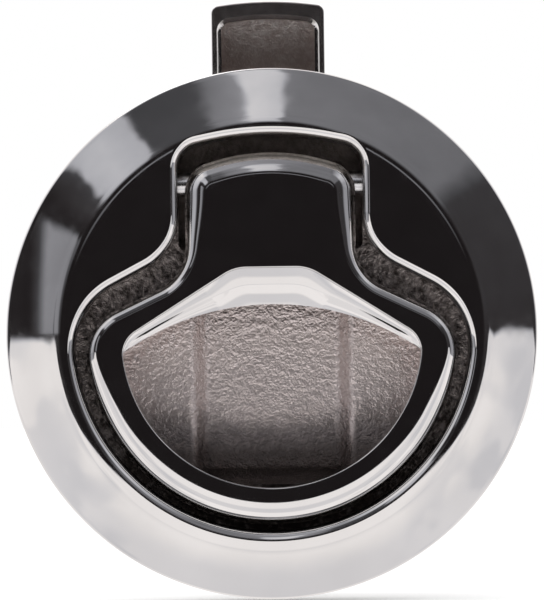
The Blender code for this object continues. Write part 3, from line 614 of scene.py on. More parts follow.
def housing(steel, pocket, shelf, shade, satin):
    item = housing_shell()
    combine(item, prism("block", block_outline(), POCKET_Y + 1.0 * MM, BLOCK_BACK), "UNION")
    combine(item, pocket_form())
    combine(item, neck_form())
    combine(item, channel_form())
    half, low, high = 7.5 * MM, 8.8 * MM, 24.3 * MM
    window = [(-half, low), (half, low), (half, high), (-half, high)]
    combine(item, prism("window", window, SHELF_Y, BODY_BACK + GAP))
    combine(item, prism("slide", slide_outline(), BODY_BACK, COVER_BACK))
    combine(item, cross_rod("pin_hole", PIN_RADIUS + GAP, -NECK_HALF - 4.1 * MM, BODY_RADIUS))
    drill_screws(item, SCREW_TIP - GAP, COVER_BACK)
    for side in ("left", "right"):
        low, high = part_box(f"handle_bumper_{side}")
        x, z = middle(low, high)
        combine(item, rod(f"bumper_hole_{side}", 1.7 * MM, (x, 0.0, z), (x, high[1] + GAP, z)))
        low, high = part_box(f"spring_guide_{side}")
        x, z = middle(low, high)
        combine(item, bolt_rod(f"guide_hole_{side}", 1.5 * MM, x, low[2] - GAP, -14.0 * MM))

    def rule(centre, normal):
        inside = math.hypot(centre.x, centre.z) < RECESS_RADIUS + 0.3 * MM
        if inside and FACE_Y + 1.7 * MOUTH_FILLET < centre.y < BODY_BACK - 0.2 * MM:
            if centre.y < SHELF_Y + 0.05 * MM:
                return 2
            # Index 3 is a darker cast, painted shade for the deep parts behind the neck.
            return 3 if centre.z > 9.0 * MM and centre.y > SHELF_Y else 1
        return 0 if centre.y < FLANGE_BACK + 0.05 * MM else 4

    paint(item, [steel, pocket, shelf, shade, satin], rule)
    smooth(item)
    true_flats(item)
    place(item, "root", "housing")


def scoop_ring(edge, angles, centre, share, depth, soft):
    """The opening's edge, drawn in towards the scoop's arc, and shallower where the scoop is narrow."""
    rise = centre.y - (SCOOP_TOP - SCOOP_CURVE)
    ring = []
    for reach, angle in zip(edge, angles):
        along = rise * math.sin(angle)
        scoop = -along + math.sqrt(along * along + SCOOP_CURVE ** 2 - rise * rise)
        drawn = max(0.0, reach - scoop)
        local = min(1.0, drawn / SCOOP_FADE)
        reach -= share * drawn
        y = FACE_Y + soft + (depth - soft) * local
        ring.append((centre.x + reach * math.cos(angle), y, centre.y + reach * math.sin(angle)))
    return ring


def scoop_profile(soft):
    """Shares and depths down the scoop: two bowed bands with a crease between them."""
    profile = []
    for start, end, top, bottom in ((0.0, 0.45, soft, SCOOP_CREASE_DEPTH),
                                    (0.45, 1.0, SCOOP_CREASE_DEPTH, SCOOP_DEPTH)):
        for share in (0.0, 0.03, 0.2, 0.4, 0.6, 0.8, 0.97, 1.0):
            bow = 0.12 * math.sin(math.pi * share)
            profile.append((start + (end - start) * share, top + (bottom - top) * (share + bow)))
    return profile


def soft_round(width, steps):
    """Places inward and down a rounded edge that bends softly into the flat, from side to flat."""
    places = [(0.0, 0.0)]
    for k in range(steps):
        share = (k + 0.5) / steps
        bend = 1 + 2.5 * (1 - share) ** 2
        tilt = math.pi / 2 * share
        places.append((places[-1][0] + bend * math.cos(tilt), places[-1][1] + bend * math.sin(tilt)))
    end = places[-1][0]
    scale = width / end
    return [((end - inward) * scale, depth * scale) for inward, depth in reversed(places)]


def round_width(point):
    """Width of the handle's rounded edge: broad on top and round the bowl, tight at the shoulders."""
    broad = eased(point.y, 8.0 * MM, 21.0 * MM) + eased(point.y, 1.0 * MM, -13.0 * MM)
    return HANDLE_SHOULDER_WIDTH + (HANDLE_ROUND_WIDTH - HANDLE_SHOULDER_WIDTH) * broad


def handle(steel, edge_painted_reflection):
    """The pull handle: rounded outer edge, flat front, and a scooped finger opening."""
    centre = Vector((0.0, -OPENING_RADIUS / 4))
    line = spaced(handle_outline(), RING_POINTS)
    normals = outward(line)
    edge_round = soft_round(1.0, 24)
    widths = [round_width(point) for point in line]
    inner = [point - normal * width for point, normal, width in zip(line, normals, widths)]
    angles = [math.atan2(point.y - centre.y, point.x) for point in inner]
    opening = [tuple(point) for point in opening_outline()]
    edge = [ray_reach(opening, centre, angle) for angle in angles]
    rings = [level(moved(line, normals, HANDLE_DRAFT - 0.2 * MM), HANDLE_BACK)]
    rings.append(level(moved(line, normals, HANDLE_DRAFT), HANDLE_BACK - 0.2 * MM))
    round_end = FACE_Y + edge_round[0][1] * HANDLE_ROUND_WIDTH
    rings.append(level(moved(line, normals, HANDLE_DRAFT * 0.75), round_end + 1.1 * MM))
    rings.append(level(line, round_end + 0.8 * MM))
    for inward, depth in edge_round:
        spots = [point - normal * (inward * width) for point, normal, width in zip(line, normals, widths)]
        rings.append([(spot.x, FACE_Y + depth * width, spot.y) for spot, width in zip(spots, widths)])
    soft = 0.22 * MM
    lips = [centre + (reach + soft) * Vector((math.cos(angle), math.sin(angle)))
            for reach, angle in zip(edge, angles)]
    for share in (0.06, 0.3, 0.6, 0.92, 1.0):
        rings.append(level([point.lerp(lip, share) for point, lip in zip(inner, lips)], FACE_Y))
    for down, out in quarter(5)[1:-1]:
        grown = [reach + soft * out for reach in edge]
        rings.append(scoop_ring(grown, angles, centre, 0.0, soft * down, soft * down))
    for share, depth in scoop_profile(soft):
        rings.append(scoop_ring(edge, angles, centre, share, depth, soft))
    last = rings[-1]
    rings.append([(x, y + 0.15 * MM, z) for x, y, z in last])
    rings.append([(x, HANDLE_BACK, z) for x, y, z in last])
    item = loft("handle_casting", rings, cyclic=True)
    for side in (-1, 1):
        hub = cross_rod(f"hub_{side}", HUB_RADIUS, side * HUB_INNER, side * HUB_OUTER, segments=96)
        combine(hub, prism("hub_limit", line, FACE_Y + HANDLE_SIDE_DEPTH, BODY_BACK), "INTERSECT")
        combine(item, hub, "UNION")
        combine(item, tail_form(side), "UNION")
    reach, half, back = 3.25 * MM, 3.9 * MM, 6.0 * MM
    notch = [(PIN_Y - reach, PIN_HEIGHT - reach), (back, PIN_HEIGHT - reach),
             (back, RECESS_TOP), (PIN_Y - reach, RECESS_TOP)]
    combine(item, side_prism("spring_notch", notch, -half, half))
    combine(item, cross_rod("handle_bore", PIN_RADIUS + GAP, -NECK_HALF, NECK_HALF))

    def rule(at, normal):
        """A matte beige cast on the neck's top edge, a painted reflection of the recess wall, and polish
        elsewhere.
        """
        return 1 if at.z > 19.0 * MM and normal.z > 0.6 and FACE_Y + 0.9 * MM < at.y < 0.0 else 0

    paint(item, [steel, edge_painted_reflection], rule)
    smooth(item)
    true_flats(item)
    place(item, "handle", "pull_handle")


def tail_form(side):
    """A rear lever with a round tip."""
    points = [(PIN_Y, PIN_HEIGHT - 2.2 * MM)]
    for k in range(25):
        angle = -math.pi / 2 + math.pi * k / 24
        y = PIN_Y + TAIL_LENGTH + TAIL_RADIUS * math.cos(angle)
        points.append((y, PIN_HEIGHT + TAIL_RADIUS * math.sin(angle)))
    points.append((PIN_Y, PIN_HEIGHT + 2.2 * MM))
    low, high = sorted((side * 4.7 * MM, side * 6.6 * MM))
    return side_prism(f"tail_{side}", points, low, high)


def bolt_outline():
    """The bolt's sides and its round end, whose arc is centred on the latch's axis."""
    corner = 1.1 * MM
    side = BOLT_HALF - corner
    rise = math.sqrt((BOLT_REACH - corner) ** 2 - side ** 2)
    lean = math.atan2(rise, side)
    right = []
    for k in range(24):
        angle = math.pi / 2 + (lean - math.pi / 2) * k / 24
        right.append((BOLT_REACH * math.cos(angle), BOLT_REACH * math.sin(angle)))
    for k in range(17):
        angle = lean * (1 - k / 16)
        right.append((side + corner * math.cos(angle), rise + corner * math.sin(angle)))
    right.append((BOLT_HALF, 6.0 * MM))
    return right + [(-x, z) for x, z in reversed(right[1:])]


def hollow_outline():
    right = neck_corners(HOLLOW_HALF, HOLLOW_TOP, 34.0 * MM, 1.3 * MM)
    right.append((HOLLOW_HALF, 19.2 * MM, 0.5 * MM))
    return rounded(mirrored(right))


def bolt(steel, floor_steel, bright):
    """The bolt: open hollow front with a bright chamfer, slam bevel at the back, soft edges."""
    line = spaced(bolt_outline(), 420)
    normals = outward(line)
    soft = 0.2 * MM
    rings = []
    for down, out in quarter(5):
        rings.append(level(moved(line, normals, -soft * out), BOLT_FRONT + soft * down))
    for out, down in quarter(5):
        rings.append(level(moved(line, normals, -soft * out), BOLT_BACK - soft * down))
    item = loft("bolt_casting", rings)
    bevel_start = Vector((BOLT_BACK, 38.5 * MM))
    bevel_end = Vector((BOLT_BACK - 6.0 * MM, BOLT_REACH))
    way = (bevel_end - bevel_start).normalized()
    far = bevel_start + way * 30 * MM
    near = bevel_start - way * 10 * MM
    behind, wide = 100.0 * MM, 20.0 * MM
    slam = [tuple(near), (behind, near.y), (behind, far.y), tuple(far)]
    combine(item, side_prism("slam_bevel", slam, -wide, wide))
    inner = bevel_start + Vector((-way.y, way.x)) * BOLT_WALL
    floor_y, ahead, above = BOLT_BACK - BOLT_WALL, BOLT_FRONT - 1.0 * MM, 50.0 * MM
    bend = crossing(inner, way, (floor_y, 0.0), (0.0, 1.0))
    crest = crossing(inner, way, (0.0, above), (1.0, 0.0))
    hollow = [(ahead, HOLLOW_BOTTOM), (floor_y, HOLLOW_BOTTOM), bend, crest, (ahead, above)]
    form = side_prism("hollow_form", hollow, -wide, wide)
    walls = spaced(hollow_outline(), 300)
    combine(form, prism("hollow_walls", walls, BOLT_FRONT - 2 * MM, BOLT_BACK), "INTERSECT")
    combine(item, form)
    out = outward(walls)
    mouth = level(moved(walls, out, 2 * HOLLOW_FLARE), BOLT_FRONT - HOLLOW_FLARE)
    combine(item, loft("hollow_flare", [mouth, level(walls, BOLT_FRONT + HOLLOW_FLARE)]))
    for x in (-COIL_X, COIL_X):
        combine(item, bolt_rod("bolt_pocket", 2.9 * MM, x, 5.0 * MM, 14.3 * MM))

    def rule(centre, normal):
        within = abs(centre.x) < HOLLOW_HALF + 0.01 * MM and HOLLOW_BOTTOM < centre.z < HOLLOW_TOP + 0.01 * MM
        if within and BOLT_FRONT + 0.5 * MM < centre.y < BOLT_BACK - 1.0 * MM and normal.y < 0.3:
            return 1
        return 2 if centre.y < BOLT_FRONT + HOLLOW_FLARE and abs(normal.x) > 0.4 else 0

    paint(item, [steel, floor_steel, bright], rule)
    smooth(item, 30.0)
    place(item, "bolt", "latch_bolt")


def hinge_pin(steel):
    item = cross_rod("pin", PIN_RADIUS, -17.05 * MM, 20.5 * MM, steel, 96)
    settle(item, "hinge_pin", 0.25 * MM)


def hinge_spring(wire):
    """A torsion spring round the pin, with two straight legs."""
    pin = Vector((0.0, PIN_Y, PIN_HEIGHT))
    half, coil, radius, turns = 3.2 * MM, 2.55 * MM, 0.4 * MM, 6
    leg_y = HANDLE_BACK + GAP + radius - PIN_Y
    path = [pin + Vector((-half, leg_y, -coil * share)) for share in (4.0, 3.0, 2.0)]
    count = turns * COIL_STEPS
    start = math.atan2(-math.sqrt(coil ** 2 - leg_y ** 2), leg_y)
    for k in range(count + COIL_STEPS // 4 + 1):
        angle = start + 2 * math.pi * k / COIL_STEPS
        x = -half + 2 * half * k / (count + COIL_STEPS // 4)
        path.append(pin + Vector((x, coil * math.cos(angle), coil * math.sin(angle))))
    last = path[-1]
    end = Vector((half, CHANNEL_Y - GAP - radius, 24.5 * MM))
    path += [last.lerp(end, share) for share in (0.3, 0.65, 1.0)]
    item = sweep("torsion_spring", path, radius, wire)
    settle(item, "hinge_spring", crease=60.0)


def bolt_spring(side, x, wire):
    """A compression spring with closed ends."""
    low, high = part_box(f"bolt_spring_{side}")
    radius, coil, turns = 0.4 * MM, 2.2 * MM, 9
    bottom, top = low[2] + radius, high[2] - radius
    count = (turns + 2) * COIL_STEPS
    path = []
    for k in range(count + 1):
        share = k / count
        ease = share + 0.055 * math.sin(4 * math.pi * share) / 2
        angle = 2 * math.pi * k / COIL_STEPS
        path.append(Vector((x + coil * math.cos(angle), SPRING_Y + coil * math.sin(angle),
                            bottom + (top - bottom) * ease)))
    item = sweep(f"return_spring_{side}", path, radius, wire)
    settle(item, f"bolt_spring_{side}", crease=60.0)
    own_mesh(item)


def spring_guide(side, x, wire):
    low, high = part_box(f"spring_guide_{side}")
    item = bolt_rod(f"guide_rod_{side}", 1.2 * MM, x, low[2], high[2], wire, 48)
    settle(item, f"spring_guide_{side}", 0.3 * MM)


def cover(cast):
    item = prism("back_cover", block_outline(), COVER_FRONT, COVER_BACK)
    drill_screws(item, 22.0 * MM, 25.0 * MM)
    paint(item, [cast])
    settle(item, "rear_cover", 0.35 * MM)


def gasket(rubber):
    item = prism("cover_seal", block_outline(), SEAL_FRONT, SEAL_BACK)
    drill_screws(item, 21.0 * MM, 23.0 * MM)
    combine(item, prism("seal_window", slide_outline(), 21.0 * MM, 23.0 * MM))
    paint(item, [rubber])
    settle(item, "cover_gasket", 0.12 * MM, 2)


def screw(index, x, z, steel):
    """A cap screw with a six-sided socket and a turned head."""
    seat, height, shank, edge = COVER_BACK + GAP, 1.6 * MM, 1.5 * MM, 0.3 * MM
    profile = [(0.0, SCREW_TIP), (shank - edge, SCREW_TIP), (shank, SCREW_TIP + edge)]
    for k in range(24):
        y = SCREW_TIP + 0.5 * MM + (seat - SCREW_TIP - 1.0 * MM) * k / 24
        profile.append((shank - (0.22 * MM if k % 2 else 0.0), y))
    head = 2.6 * MM
    profile += [(shank, seat), (head, seat)]
    for out, down in quarter(5):
        profile.append((head - edge * out, seat + height - edge * down))
    profile.append((0.0, seat + height))
    item = turned(f"cap_screw_{index}", profile, (x, z), steel, 64)
    socket = [(x + a, z + b) for a, b in circle(1.45 * MM, 6)]
    combine(item, prism(f"socket_{index}", socket, seat + height - 0.9 * MM, seat + height + 1 * MM))
    paint(item, [steel])
    settle(item, f"cover_screw_{index}", crease=30.0)


def flat_ring(name, node, material, edge):
    low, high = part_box(node)
    outer = high[0]
    profile = [(NUT_BORE, low[1]), (outer, low[1]), (outer, high[1]), (NUT_BORE, high[1])]
    settle(turned(name, profile, material=material), node, edge)


def ring_nut(plated):
    """The ring nut, with six spanner notches and a threaded bore."""
    low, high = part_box("mounting_nut")
    outer, front, back = 36.5 * MM, low[1], high[1]
    profile = [(outer, front), (outer, back)]
    steps = 18
    for k in range(steps + 1):
        y = back - (back - front) * k / steps
        profile.append((NUT_BORE + (0.35 * MM if k % 2 else 0.0), y))
    item = turned("ring_nut", profile)
    for i in range(6):
        turn = Matrix.Rotation(math.pi * (2 * i + 1) / 6, 2)
        near, far, half = 34.9 * MM, 38.0 * MM, 2.5 * MM
        corners = [(near, -half), (far, -half), (far, half), (near, half)]
        outline = [tuple(turn @ Vector(corner)) for corner in corners]
        combine(item, prism(f"notch_{i}", outline, front - GAP, back + GAP))
    paint(item, [plated])
    settle(item, "mounting_nut", 0.35 * MM, angle=60.0)


def bumper(side, rubber):
    low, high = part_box(f"handle_bumper_{side}")
    x, z = middle(low, high)
    item = rod(f"rubber_button_{side}", (high[0] - low[0]) / 2, (x, low[1], z), (x, high[1], z), rubber, 48)
    settle(item, f"handle_bumper_{side}", 0.4 * MM, 4)


class Nodes:
    """A small helper to write node trees line by line."""

    def __init__(self, tree):
        self.tree = tree

    def add(self, kind, **settings):
        node = self.tree.nodes.new(kind)
        for key, value in settings.items():
            setattr(node, key, value)
        return node

    def put(self, socket, value):
        """Set an input to a number, or to what another node gives."""
        if isinstance(value, (int, float)):
            socket.default_value = value
        else:
            self.tree.links.new(value, socket)

    def feed(self, node, **values):
        """Set a node's inputs by their names, and give its first output."""
        for key, value in values.items():
            self.put(node.inputs[key.replace("_", " ").title()], value)
        return node.outputs[0]

    def math(self, operation, *values):
        node = self.add("ShaderNodeMath", operation=operation)
        for socket, value in zip(node.inputs, values):
            self.put(socket, value)
        return node.outputs[0]

    def times(self, a, b):
        return self.math("MULTIPLY", a, b)

    def plus(self, a, b):
        return self.math("ADD", a, b)

    def parts(self, vector):
        """The X, Y and Z of a vector."""
        node = self.add("ShaderNodeSeparateXYZ")
        self.feed(node, vector=vector)
        return node.outputs

    def step(self, value, low, high):
        """0 below low, 1 above high, smooth between."""
        node = self.add("ShaderNodeMapRange", interpolation_type="SMOOTHSTEP")
        return self.feed(node, value=value, from_min=low, from_max=high)

    def mix(self, factor, a, b):
        return self.feed(self.add("ShaderNodeMix", data_type="FLOAT"), factor=factor, a=a, b=b)

    def noise(self, coords, scale, detail=4.0, roughness=0.55):
        node = self.add("ShaderNodeTexNoise")
        return self.feed(node, vector=coords, scale=scale, detail=detail, roughness=roughness)

    def greys(self, value, stops):
        return self.colours(value, [(position, (grey, grey, grey)) for position, grey in stops])

    def colours(self, value, stops):
        node = self.add("ShaderNodeValToRGB")
        ramp = node.color_ramp
        ramp.elements[0].position = stops[0][0]
        ramp.elements[0].color = (*stops[0][1], 1.0)
        ramp.elements[1].position = stops[-1][0]
        ramp.elements[1].color = (*stops[-1][1], 1.0)
        for position, colour in stops[1:-1]:
            ramp.elements.new(position).color = (*colour, 1.0)
        self.put(node.inputs[0], value)
        return node.outputs[0]


def surface(name, metallic, roughness):
    """A new material, its tree helper and its Principled shader."""
    material = bpy.data.materials.new(name)
    material.use_nodes = True
    nodes = Nodes(material.node_tree)
    shader = material.node_tree.nodes["Principled BSDF"]
    nodes.feed(shader, metallic=metallic, roughness=roughness)
    coords = nodes.add("ShaderNodeTexCoord").outputs["Object"]
    return material, nodes, shader, coords


def bump(nodes, shader, height, strength, distance):
    node = nodes.add("ShaderNodeBump")
    nodes.feed(shader, normal=nodes.feed(node, strength=strength, distance=distance, height=height))


def mirror_steel():
    """Buffed steel: nearly a mirror, with a faint haze and the slow waves of hand polishing."""
    material, nodes, shader, coords = surface("mirror_steel", 1.0, 0.05)
    haze = nodes.noise(coords, 60.0, 3.0)
    tone = nodes.colours(haze, [(0.3, (0.79, 0.785, 0.78)), (0.7, (0.85, 0.845, 0.84))])
    rough = nodes.step(nodes.noise(coords, 350.0, 5.0), 0.35, 0.75)
    nodes.feed(shader, base_color=tone, roughness=nodes.mix(rough, 0.035, 0.085))
    bump(nodes, shader, nodes.noise(coords, 130.0, 2.0), 0.05, 0.06 * MM)
    return material


def cast_steel(name, dark, light, roughness, depth, fineness=1.0, painted_shade_span=None):
    """Blasted casting: a fine pitted grain with mottled brown and grey, and painted shade below a span of
    height where one is given.
    """
    material, nodes, shader, coords = surface(name, 1.0, roughness)
    mottle = nodes.noise(coords, 900.0, 5.0, 0.65)
    tone = mottle
    # Painted shade: with a span of height, the tone falls to 0.66 below it and stays full above it.
    if painted_shade_span:
        painted_light_share = nodes.step(nodes.parts(coords)[2], *painted_shade_span)
        tone = nodes.times(mottle, nodes.mix(painted_light_share, 0.66, 1.0))
    nodes.feed(shader, base_color=nodes.colours(tone, [(0.35, dark), (0.65, light)]))
    grain = nodes.noise(coords, 2200.0 * fineness, 3.0, 0.6)
    coarse = nodes.noise(coords, 1100.0 * fineness, 3.0, 0.5)
    height = nodes.plus(nodes.times(grain, 0.7), coarse)
    bump(nodes, shader, height, 0.55, depth)
    return material


def pocket_steel():
    """The pocket's casting, with painted light and shade: brighter in its channel, a painted highlight along
    the channel's edges, darker beside it and towards the bottom.
    """
    material, nodes, shader, coords = surface("cast_pocket", 1.0, 0.33)
    x, _, z = nodes.parts(coords)
    across = nodes.math("ABSOLUTE", x)
    # Painted light: the channel's floor is made brighter than the floor beside it.
    inside = nodes.step(across, CHANNEL_HALF - 0.5 * MM, CHANNEL_HALF - 5.0 * MM)
    # Painted highlight: a bright line along the channel's convex edges.
    painted_edge_highlight = nodes.times(nodes.step(across, CHANNEL_HALF + 0.3 * MM, CHANNEL_HALF + 0.8 * MM),
                          nodes.step(across, CHANNEL_HALF + 1.7 * MM, CHANNEL_HALF + 0.9 * MM))
    # Painted light and shade: up to three times brighter at the top, down to 0.13 at the bottom.
    high = nodes.step(z, -18.0 * MM, -5.0 * MM)
    tone = nodes.plus(nodes.times(inside, 0.16), 0.5)
    tone = nodes.plus(tone, nodes.times(painted_edge_highlight, 0.5))
    tone = nodes.times(tone, nodes.mix(high, 0.13, 3.0))
    # Painted shade: darker towards the pocket's far sides.
    tone = nodes.times(tone, nodes.mix(nodes.step(across, 21.0 * MM, 15.0 * MM), 0.7, 1.0))
    mottle = nodes.noise(coords, 700.0, 6.0, 0.65)
    tone = nodes.times(tone, nodes.mix(nodes.step(mottle, 0.3, 0.7), 0.8, 1.15))
    nodes.feed(shader, base_color=nodes.colours(tone, [(0.0, (0.03, 0.024, 0.023)), (1.0, (1.0, 0.9, 0.87))]))
    grain = nodes.noise(coords, 3400.0, 2.0, 0.5)
    coarse = nodes.noise(coords, 1500.0, 3.0, 0.55)
    height = nodes.plus(nodes.times(grain, 0.4), coarse)
    bump(nodes, shader, height, 1.0, 0.22 * MM)
    return material


def satin_steel(name, colour, roughness):
    """Turned or drawn metal, with a fine grain along its surface."""
    material, nodes, shader, coords = surface(name, 1.0, roughness)
    shade = nodes.noise(coords, 500.0, 5.0)
    dark = tuple(0.85 * c for c in colour)
    rough = nodes.mix(nodes.noise(coords, 900.0, 4.0), roughness * 0.7, roughness * 1.4)
    nodes.feed(shader, base_color=nodes.colours(shade, [(0.3, dark), (0.7, colour)]), roughness=rough)
    bump(nodes, shader, nodes.noise(coords, 700.0, 2.0), 0.05, 0.03 * MM)
    return material


def dull(name, colour, roughness, grain):
    """Rubber or moulded nylon, slightly mottled."""
    material, nodes, shader, coords = surface(name, 0.0, roughness)
    shade = nodes.noise(coords, 300.0, 5.0)
    light = tuple(1.5 * c for c in colour)
    nodes.feed(shader, base_color=nodes.colours(shade, [(0.3, colour), (0.8, light)]))
    bump(nodes, shader, nodes.noise(coords, grain, 4.0), 0.25, 0.06 * MM)
    return material


# Reflected studio round the front: angle from the right over the top, as a share of half a turn,
# and the brightness there. Grey card on the right, window over the top, cards on the left.
CARDS = [
    (0.0, 0.03), (0.05, 0.04), (0.19, 0.045), (0.22, 0.17), (0.33, 0.18), (0.482, 0.2),
    (0.49, 0.62), (0.534, 0.68), (0.542, 0.27), (0.575, 0.2), (0.59, 0.07), (0.683, 0.06),
    (0.69, 0.46), (0.73, 0.55), (0.775, 0.46), (0.785, 0.05), (0.83, 0.02), (1.0, 0.02),
]
# What the steepest edges reflect above, by the same angle: pale to the right and left, darker between.
CEILING = [
    (0.0, 0.3), (0.12, 0.35), (0.24, 0.6), (0.33, 0.3), (0.38, 0.15), (0.5, 0.27), (0.56, 0.34),
    (0.62, 0.3), (0.7, 0.8), (0.84, 0.6), (1.0, 0.4),
]
# Upright bright slats far out on the left, by how far left they lie.
SLATS = [
    (0.0, 0.04), (0.33, 0.05), (0.38, 0.16), (0.42, 0.08), (0.46, 0.24), (0.55, 0.28), (0.575, 0.05),
    (0.6, 0.018), (0.8, 0.03),
]
# How far down the dark side of the room reaches, by how far out to the side; 0.5 is level.
SKIRT = [
    (0.0, 0.3), (0.4, 0.3), (0.46, 0.34), (0.52, 0.48), (0.56, 0.5), (0.66, 0.5), (0.75, 0.38),
    (1.0, 0.32),
]
# The pale lower room from left to right.
LOW = [
    (0.0, 1.0), (0.18, 0.95), (0.26, 0.8), (0.4, 0.76), (0.5, 0.74), (0.6, 0.76), (0.74, 0.79),
    (0.83, 0.77), (1.0, 0.85),
]
# The camera side, and a faint line round it.
DARK = 0.012
LINE = 0.2
# The room's colour from its darkest to its palest parts.
TINT = [
    (0.0, (1.0, 0.8, 0.85)), (0.025, (1.0, 0.88, 0.92)), (0.06, (1.0, 0.99, 1.07)),
    (0.5, (1.0, 1.0, 1.07)), (0.9, (1.0, 0.96, 0.95)),
]


def studio_world():
    """Plain white. Only polish sees the room in it: a dark camera side, grey cards above, pale below."""
    world = bpy.data.worlds.new("studio")
    bpy.context.scene.world = world
    world.use_nodes = True
    tree = world.node_tree
    tree.nodes.clear()
    nodes = Nodes(tree)
    way = nodes.add("ShaderNodeTexCoord").outputs["Generated"]
    x, y, z = nodes.parts(way)
    wobble = nodes.math("SUBTRACT", nodes.noise(way, 4.0, 3.0), 0.5)
    off = nodes.math("ARCCOSINE", nodes.times(y, -1.0))
    off = nodes.plus(off, nodes.times(wobble, 0.08))

    def ring(low, high):
        """0 to 1 between two angles off the front."""
        return nodes.step(off, math.radians(low), math.radians(high))

    turn = nodes.math("DIVIDE", nodes.math("ARCTAN2", z, x), math.pi)
    turn = nodes.plus(turn, nodes.times(wobble, 0.07))
    turn = nodes.math("MAXIMUM", turn, 0.0)
    slats = nodes.greys(nodes.math("MAXIMUM", nodes.times(x, -1.0), 0.0), SLATS)
    cards = nodes.mix(nodes.step(turn, 0.845, 0.86), nodes.greys(turn, CARDS), slats)
    upper = nodes.mix(ring(21.0, 27.0), DARK, cards)
    line = nodes.times(nodes.times(ring(14.0, 15.0), ring(17.5, 16.0)), nodes.step(z, 0.08, 0.2))
    upper = nodes.plus(upper, nodes.times(line, LINE))
    upper = nodes.mix(ring(47.0, 58.0), upper, nodes.greys(turn, CEILING))
    upper = nodes.mix(ring(78.0, 92.0), upper, 1.0)
    upper = nodes.times(upper, nodes.mix(nodes.noise(way, 7.0, 5.0), 0.75, 1.25))
    aside = nodes.math("ABSOLUTE", x)
    edge = nodes.math("SUBTRACT", nodes.greys(aside, SKIRT), 0.5)
    depth = nodes.math("SUBTRACT", nodes.plus(z, nodes.times(wobble, 0.05)), edge)
    below = nodes.step(depth, 0.004, -0.016)
    pale = nodes.mix(nodes.step(nodes.noise(way, 5.0, 2.0), 0.45, 0.56), 0.85, 1.0)
    pale = nodes.mix(nodes.step(aside, 0.25, 0.4), 1.0, pale)
    low = nodes.mix(ring(38.0, 32.0), nodes.greys(nodes.plus(nodes.times(x, 0.5), 0.5), LOW), 0.96)
    low = nodes.mix(ring(50.0, 57.0), low, 1.0)
    room = nodes.mix(below, upper, nodes.times(pale, low))
    path = nodes.add("ShaderNodeLightPath")
    mirror = nodes.math("MAXIMUM", path.outputs["Is Glossy Ray"], path.outputs["Is Transmission Ray"])
    polish = nodes.add("ShaderNodeVectorMath", operation="SCALE")
    nodes.feed(polish, vector=nodes.colours(room, TINT), scale=room)
    shown = nodes.add("ShaderNodeMix", data_type="RGBA")
    nodes.put(shown.inputs[0], mirror)
    shown.inputs[6].default_value = (1.0, 1.0, 1.0, 1.0)
    nodes.put(shown.inputs[7], polish.outputs[0])
    light = nodes.feed(nodes.add("ShaderNodeBackground"), color=shown.outputs[2])
    nodes.put(nodes.add("ShaderNodeOutputWorld").inputs["Surface"], light)


def floor():
    """A plain pale floor just below the latch."""
    half, near, drop = 1.2, -0.45, 0.0385
    mesh = bpy.data.meshes.new("floor")
    mesh.from_pydata([(-half, near, -drop), (half, near, -drop), (half, half, -drop), (-half, half, -drop)],
                     [], [(0, 1, 2, 3)])
    material, nodes, shader = surface("floor_paper", 0.0, 0.9)[:3]
    shader.inputs["Base Color"].default_value = (0.9, 0.9, 0.9, 1.0)
    shader.inputs["Specular IOR Level"].default_value = 0.1
    shader.inputs["Emission Color"].default_value = (1.0, 1.0, 1.0, 1.0)
    seen = nodes.add("ShaderNodeLightPath").outputs["Is Camera Ray"]
    nodes.feed(shader, emission_strength=nodes.times(seen, 0.3))
    item = link("floor", mesh, material)
    item.visible_glossy = False


def soft_light(name, spot, size, power):
    light = bpy.data.lights.new(name, "AREA")
    light.size = size
    light.energy = power
    item = bpy.data.objects.new(name, light)
    item.location = spot
    item.rotation_euler = (-Vector(spot)).to_track_quat("-Z", "Y").to_euler()
    bpy.context.scene.collection.objects.link(item)


PHOTO_WIDTH, PHOTO_HEIGHT = 544, 600
PIXELS_PER_METRE = 7010.0
FLANGE_CENTRE_PX = (271.8, 333.6)
CAMERA_DISTANCE = 0.85
CAMERA_ROLL = math.radians(0.75)


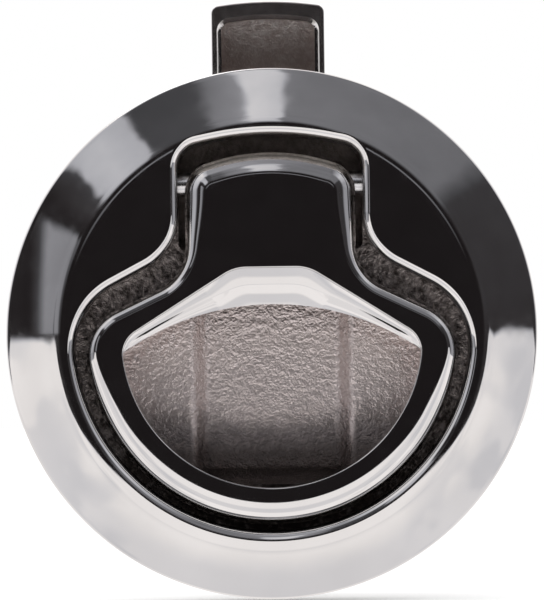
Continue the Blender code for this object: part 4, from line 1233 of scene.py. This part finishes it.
def camera():
    """A long lens square on to the face."""
    lens = bpy.data.cameras.new("camera")
    item = bpy.data.objects.new("camera", lens)
    bpy.context.scene.collection.objects.link(item)
    lens.sensor_fit = "VERTICAL"
    lens.sensor_height = 24.0
    lens.lens = lens.sensor_height * CAMERA_DISTANCE * PIXELS_PER_METRE / PHOTO_HEIGHT
    right = (PHOTO_WIDTH / 2 - FLANGE_CENTRE_PX[0]) / PIXELS_PER_METRE
    up = (FLANGE_CENTRE_PX[1] - PHOTO_HEIGHT / 2) / PIXELS_PER_METRE
    turn = Matrix.Rotation(math.pi / 2, 4, "X") @ Matrix.Rotation(-CAMERA_ROLL, 4, "Z")
    aim = Vector((0.0, FACE_Y, 0.0)) + turn.to_3x3() @ Vector((right, up, 0.0))
    item.matrix_world = Matrix.Translation(aim + turn.to_3x3() @ Vector((0, 0, CAMERA_DISTANCE))) @ turn
    lens.clip_end = 20.0
    bpy.context.scene.camera = item


def build():
    steel = mirror_steel()
    pocket = pocket_steel()
    # Painted shade: the shelf's tone darkens towards the bottom of the recess.
    shelf = cast_steel("cast_shelf", (0.07, 0.06, 0.055), (0.55, 0.5, 0.48), 0.32, 0.3 * MM,
                       painted_shade_span=(-24 * MM, -9 * MM))
    # Painted shade: a darker copy of the cast for the deep parts behind the handle's neck.
    shade = cast_steel("painted_shade_neck_cast", (0.2, 0.175, 0.16), (0.34, 0.3, 0.28), 0.5, 0.2 * MM)
    bolt_face = satin_steel("bolt_face", (0.66, 0.62, 0.61), 0.2)
    # Painted reflection: a matte beige cast on top of the handle's neck stands in for the recess wall's
    # reflection.
    edge_painted_reflection = cast_steel("painted_reflection_edge", (0.6, 0.55, 0.5), (0.85, 0.8, 0.75), 0.5, 0.06 * MM)
    # Painted light: the bolt's hollow is a bright cast, brightest at its top and darker below.
    hollow = cast_steel("bolt_hollow", (0.72, 0.62, 0.58), (1.0, 0.94, 0.9), 0.42, 0.3 * MM, 1.3,
                        (37 * MM, 45 * MM))
    rough_cast = cast_steel("cast_cover", (0.3, 0.28, 0.27), (0.42, 0.4, 0.38), 0.45, 0.12 * MM)
    satin = satin_steel("turned_steel", (0.55, 0.54, 0.53), 0.28)
    wire = satin_steel("spring_wire", (0.86, 0.86, 0.87), 0.2)
    plated = satin_steel("nut_plating", (0.62, 0.61, 0.6), 0.24)
    rubber = dull("seal_rubber", (0.02, 0.02, 0.021), 0.62, 1400.0)
    nylon = dull("washer_nylon", (0.03, 0.03, 0.031), 0.4, 900.0)
    housing(steel, pocket, shelf, shade, satin)
    handle(steel, edge_painted_reflection)
    bolt(bolt_face, hollow, steel)
    hinge_pin(wire)
    hinge_spring(wire)
    for side, x in (("left", -COIL_X), ("right", COIL_X)):
        bolt_spring(side, x, wire)
        spring_guide(side, x, wire)
        bumper(side, rubber)
    cover(rough_cast)
    gasket(rubber)
    for index, (x, z) in enumerate(screw_places()):
        screw(index + 1, x, z, satin)
    ring_nut(plated)
    flat_ring("panel_washer", "nut_washer", nylon, 0.2 * MM)
    flat_ring("face_gasket", "flange_gasket", rubber, 0.25 * MM)
    floor()
    soft_light("key_light", (-0.5, 0.3, 1.4), 0.8, 2.5)
    studio_world()
    camera()


build()
bpy.context.scene.view_settings.view_transform = "Standard"
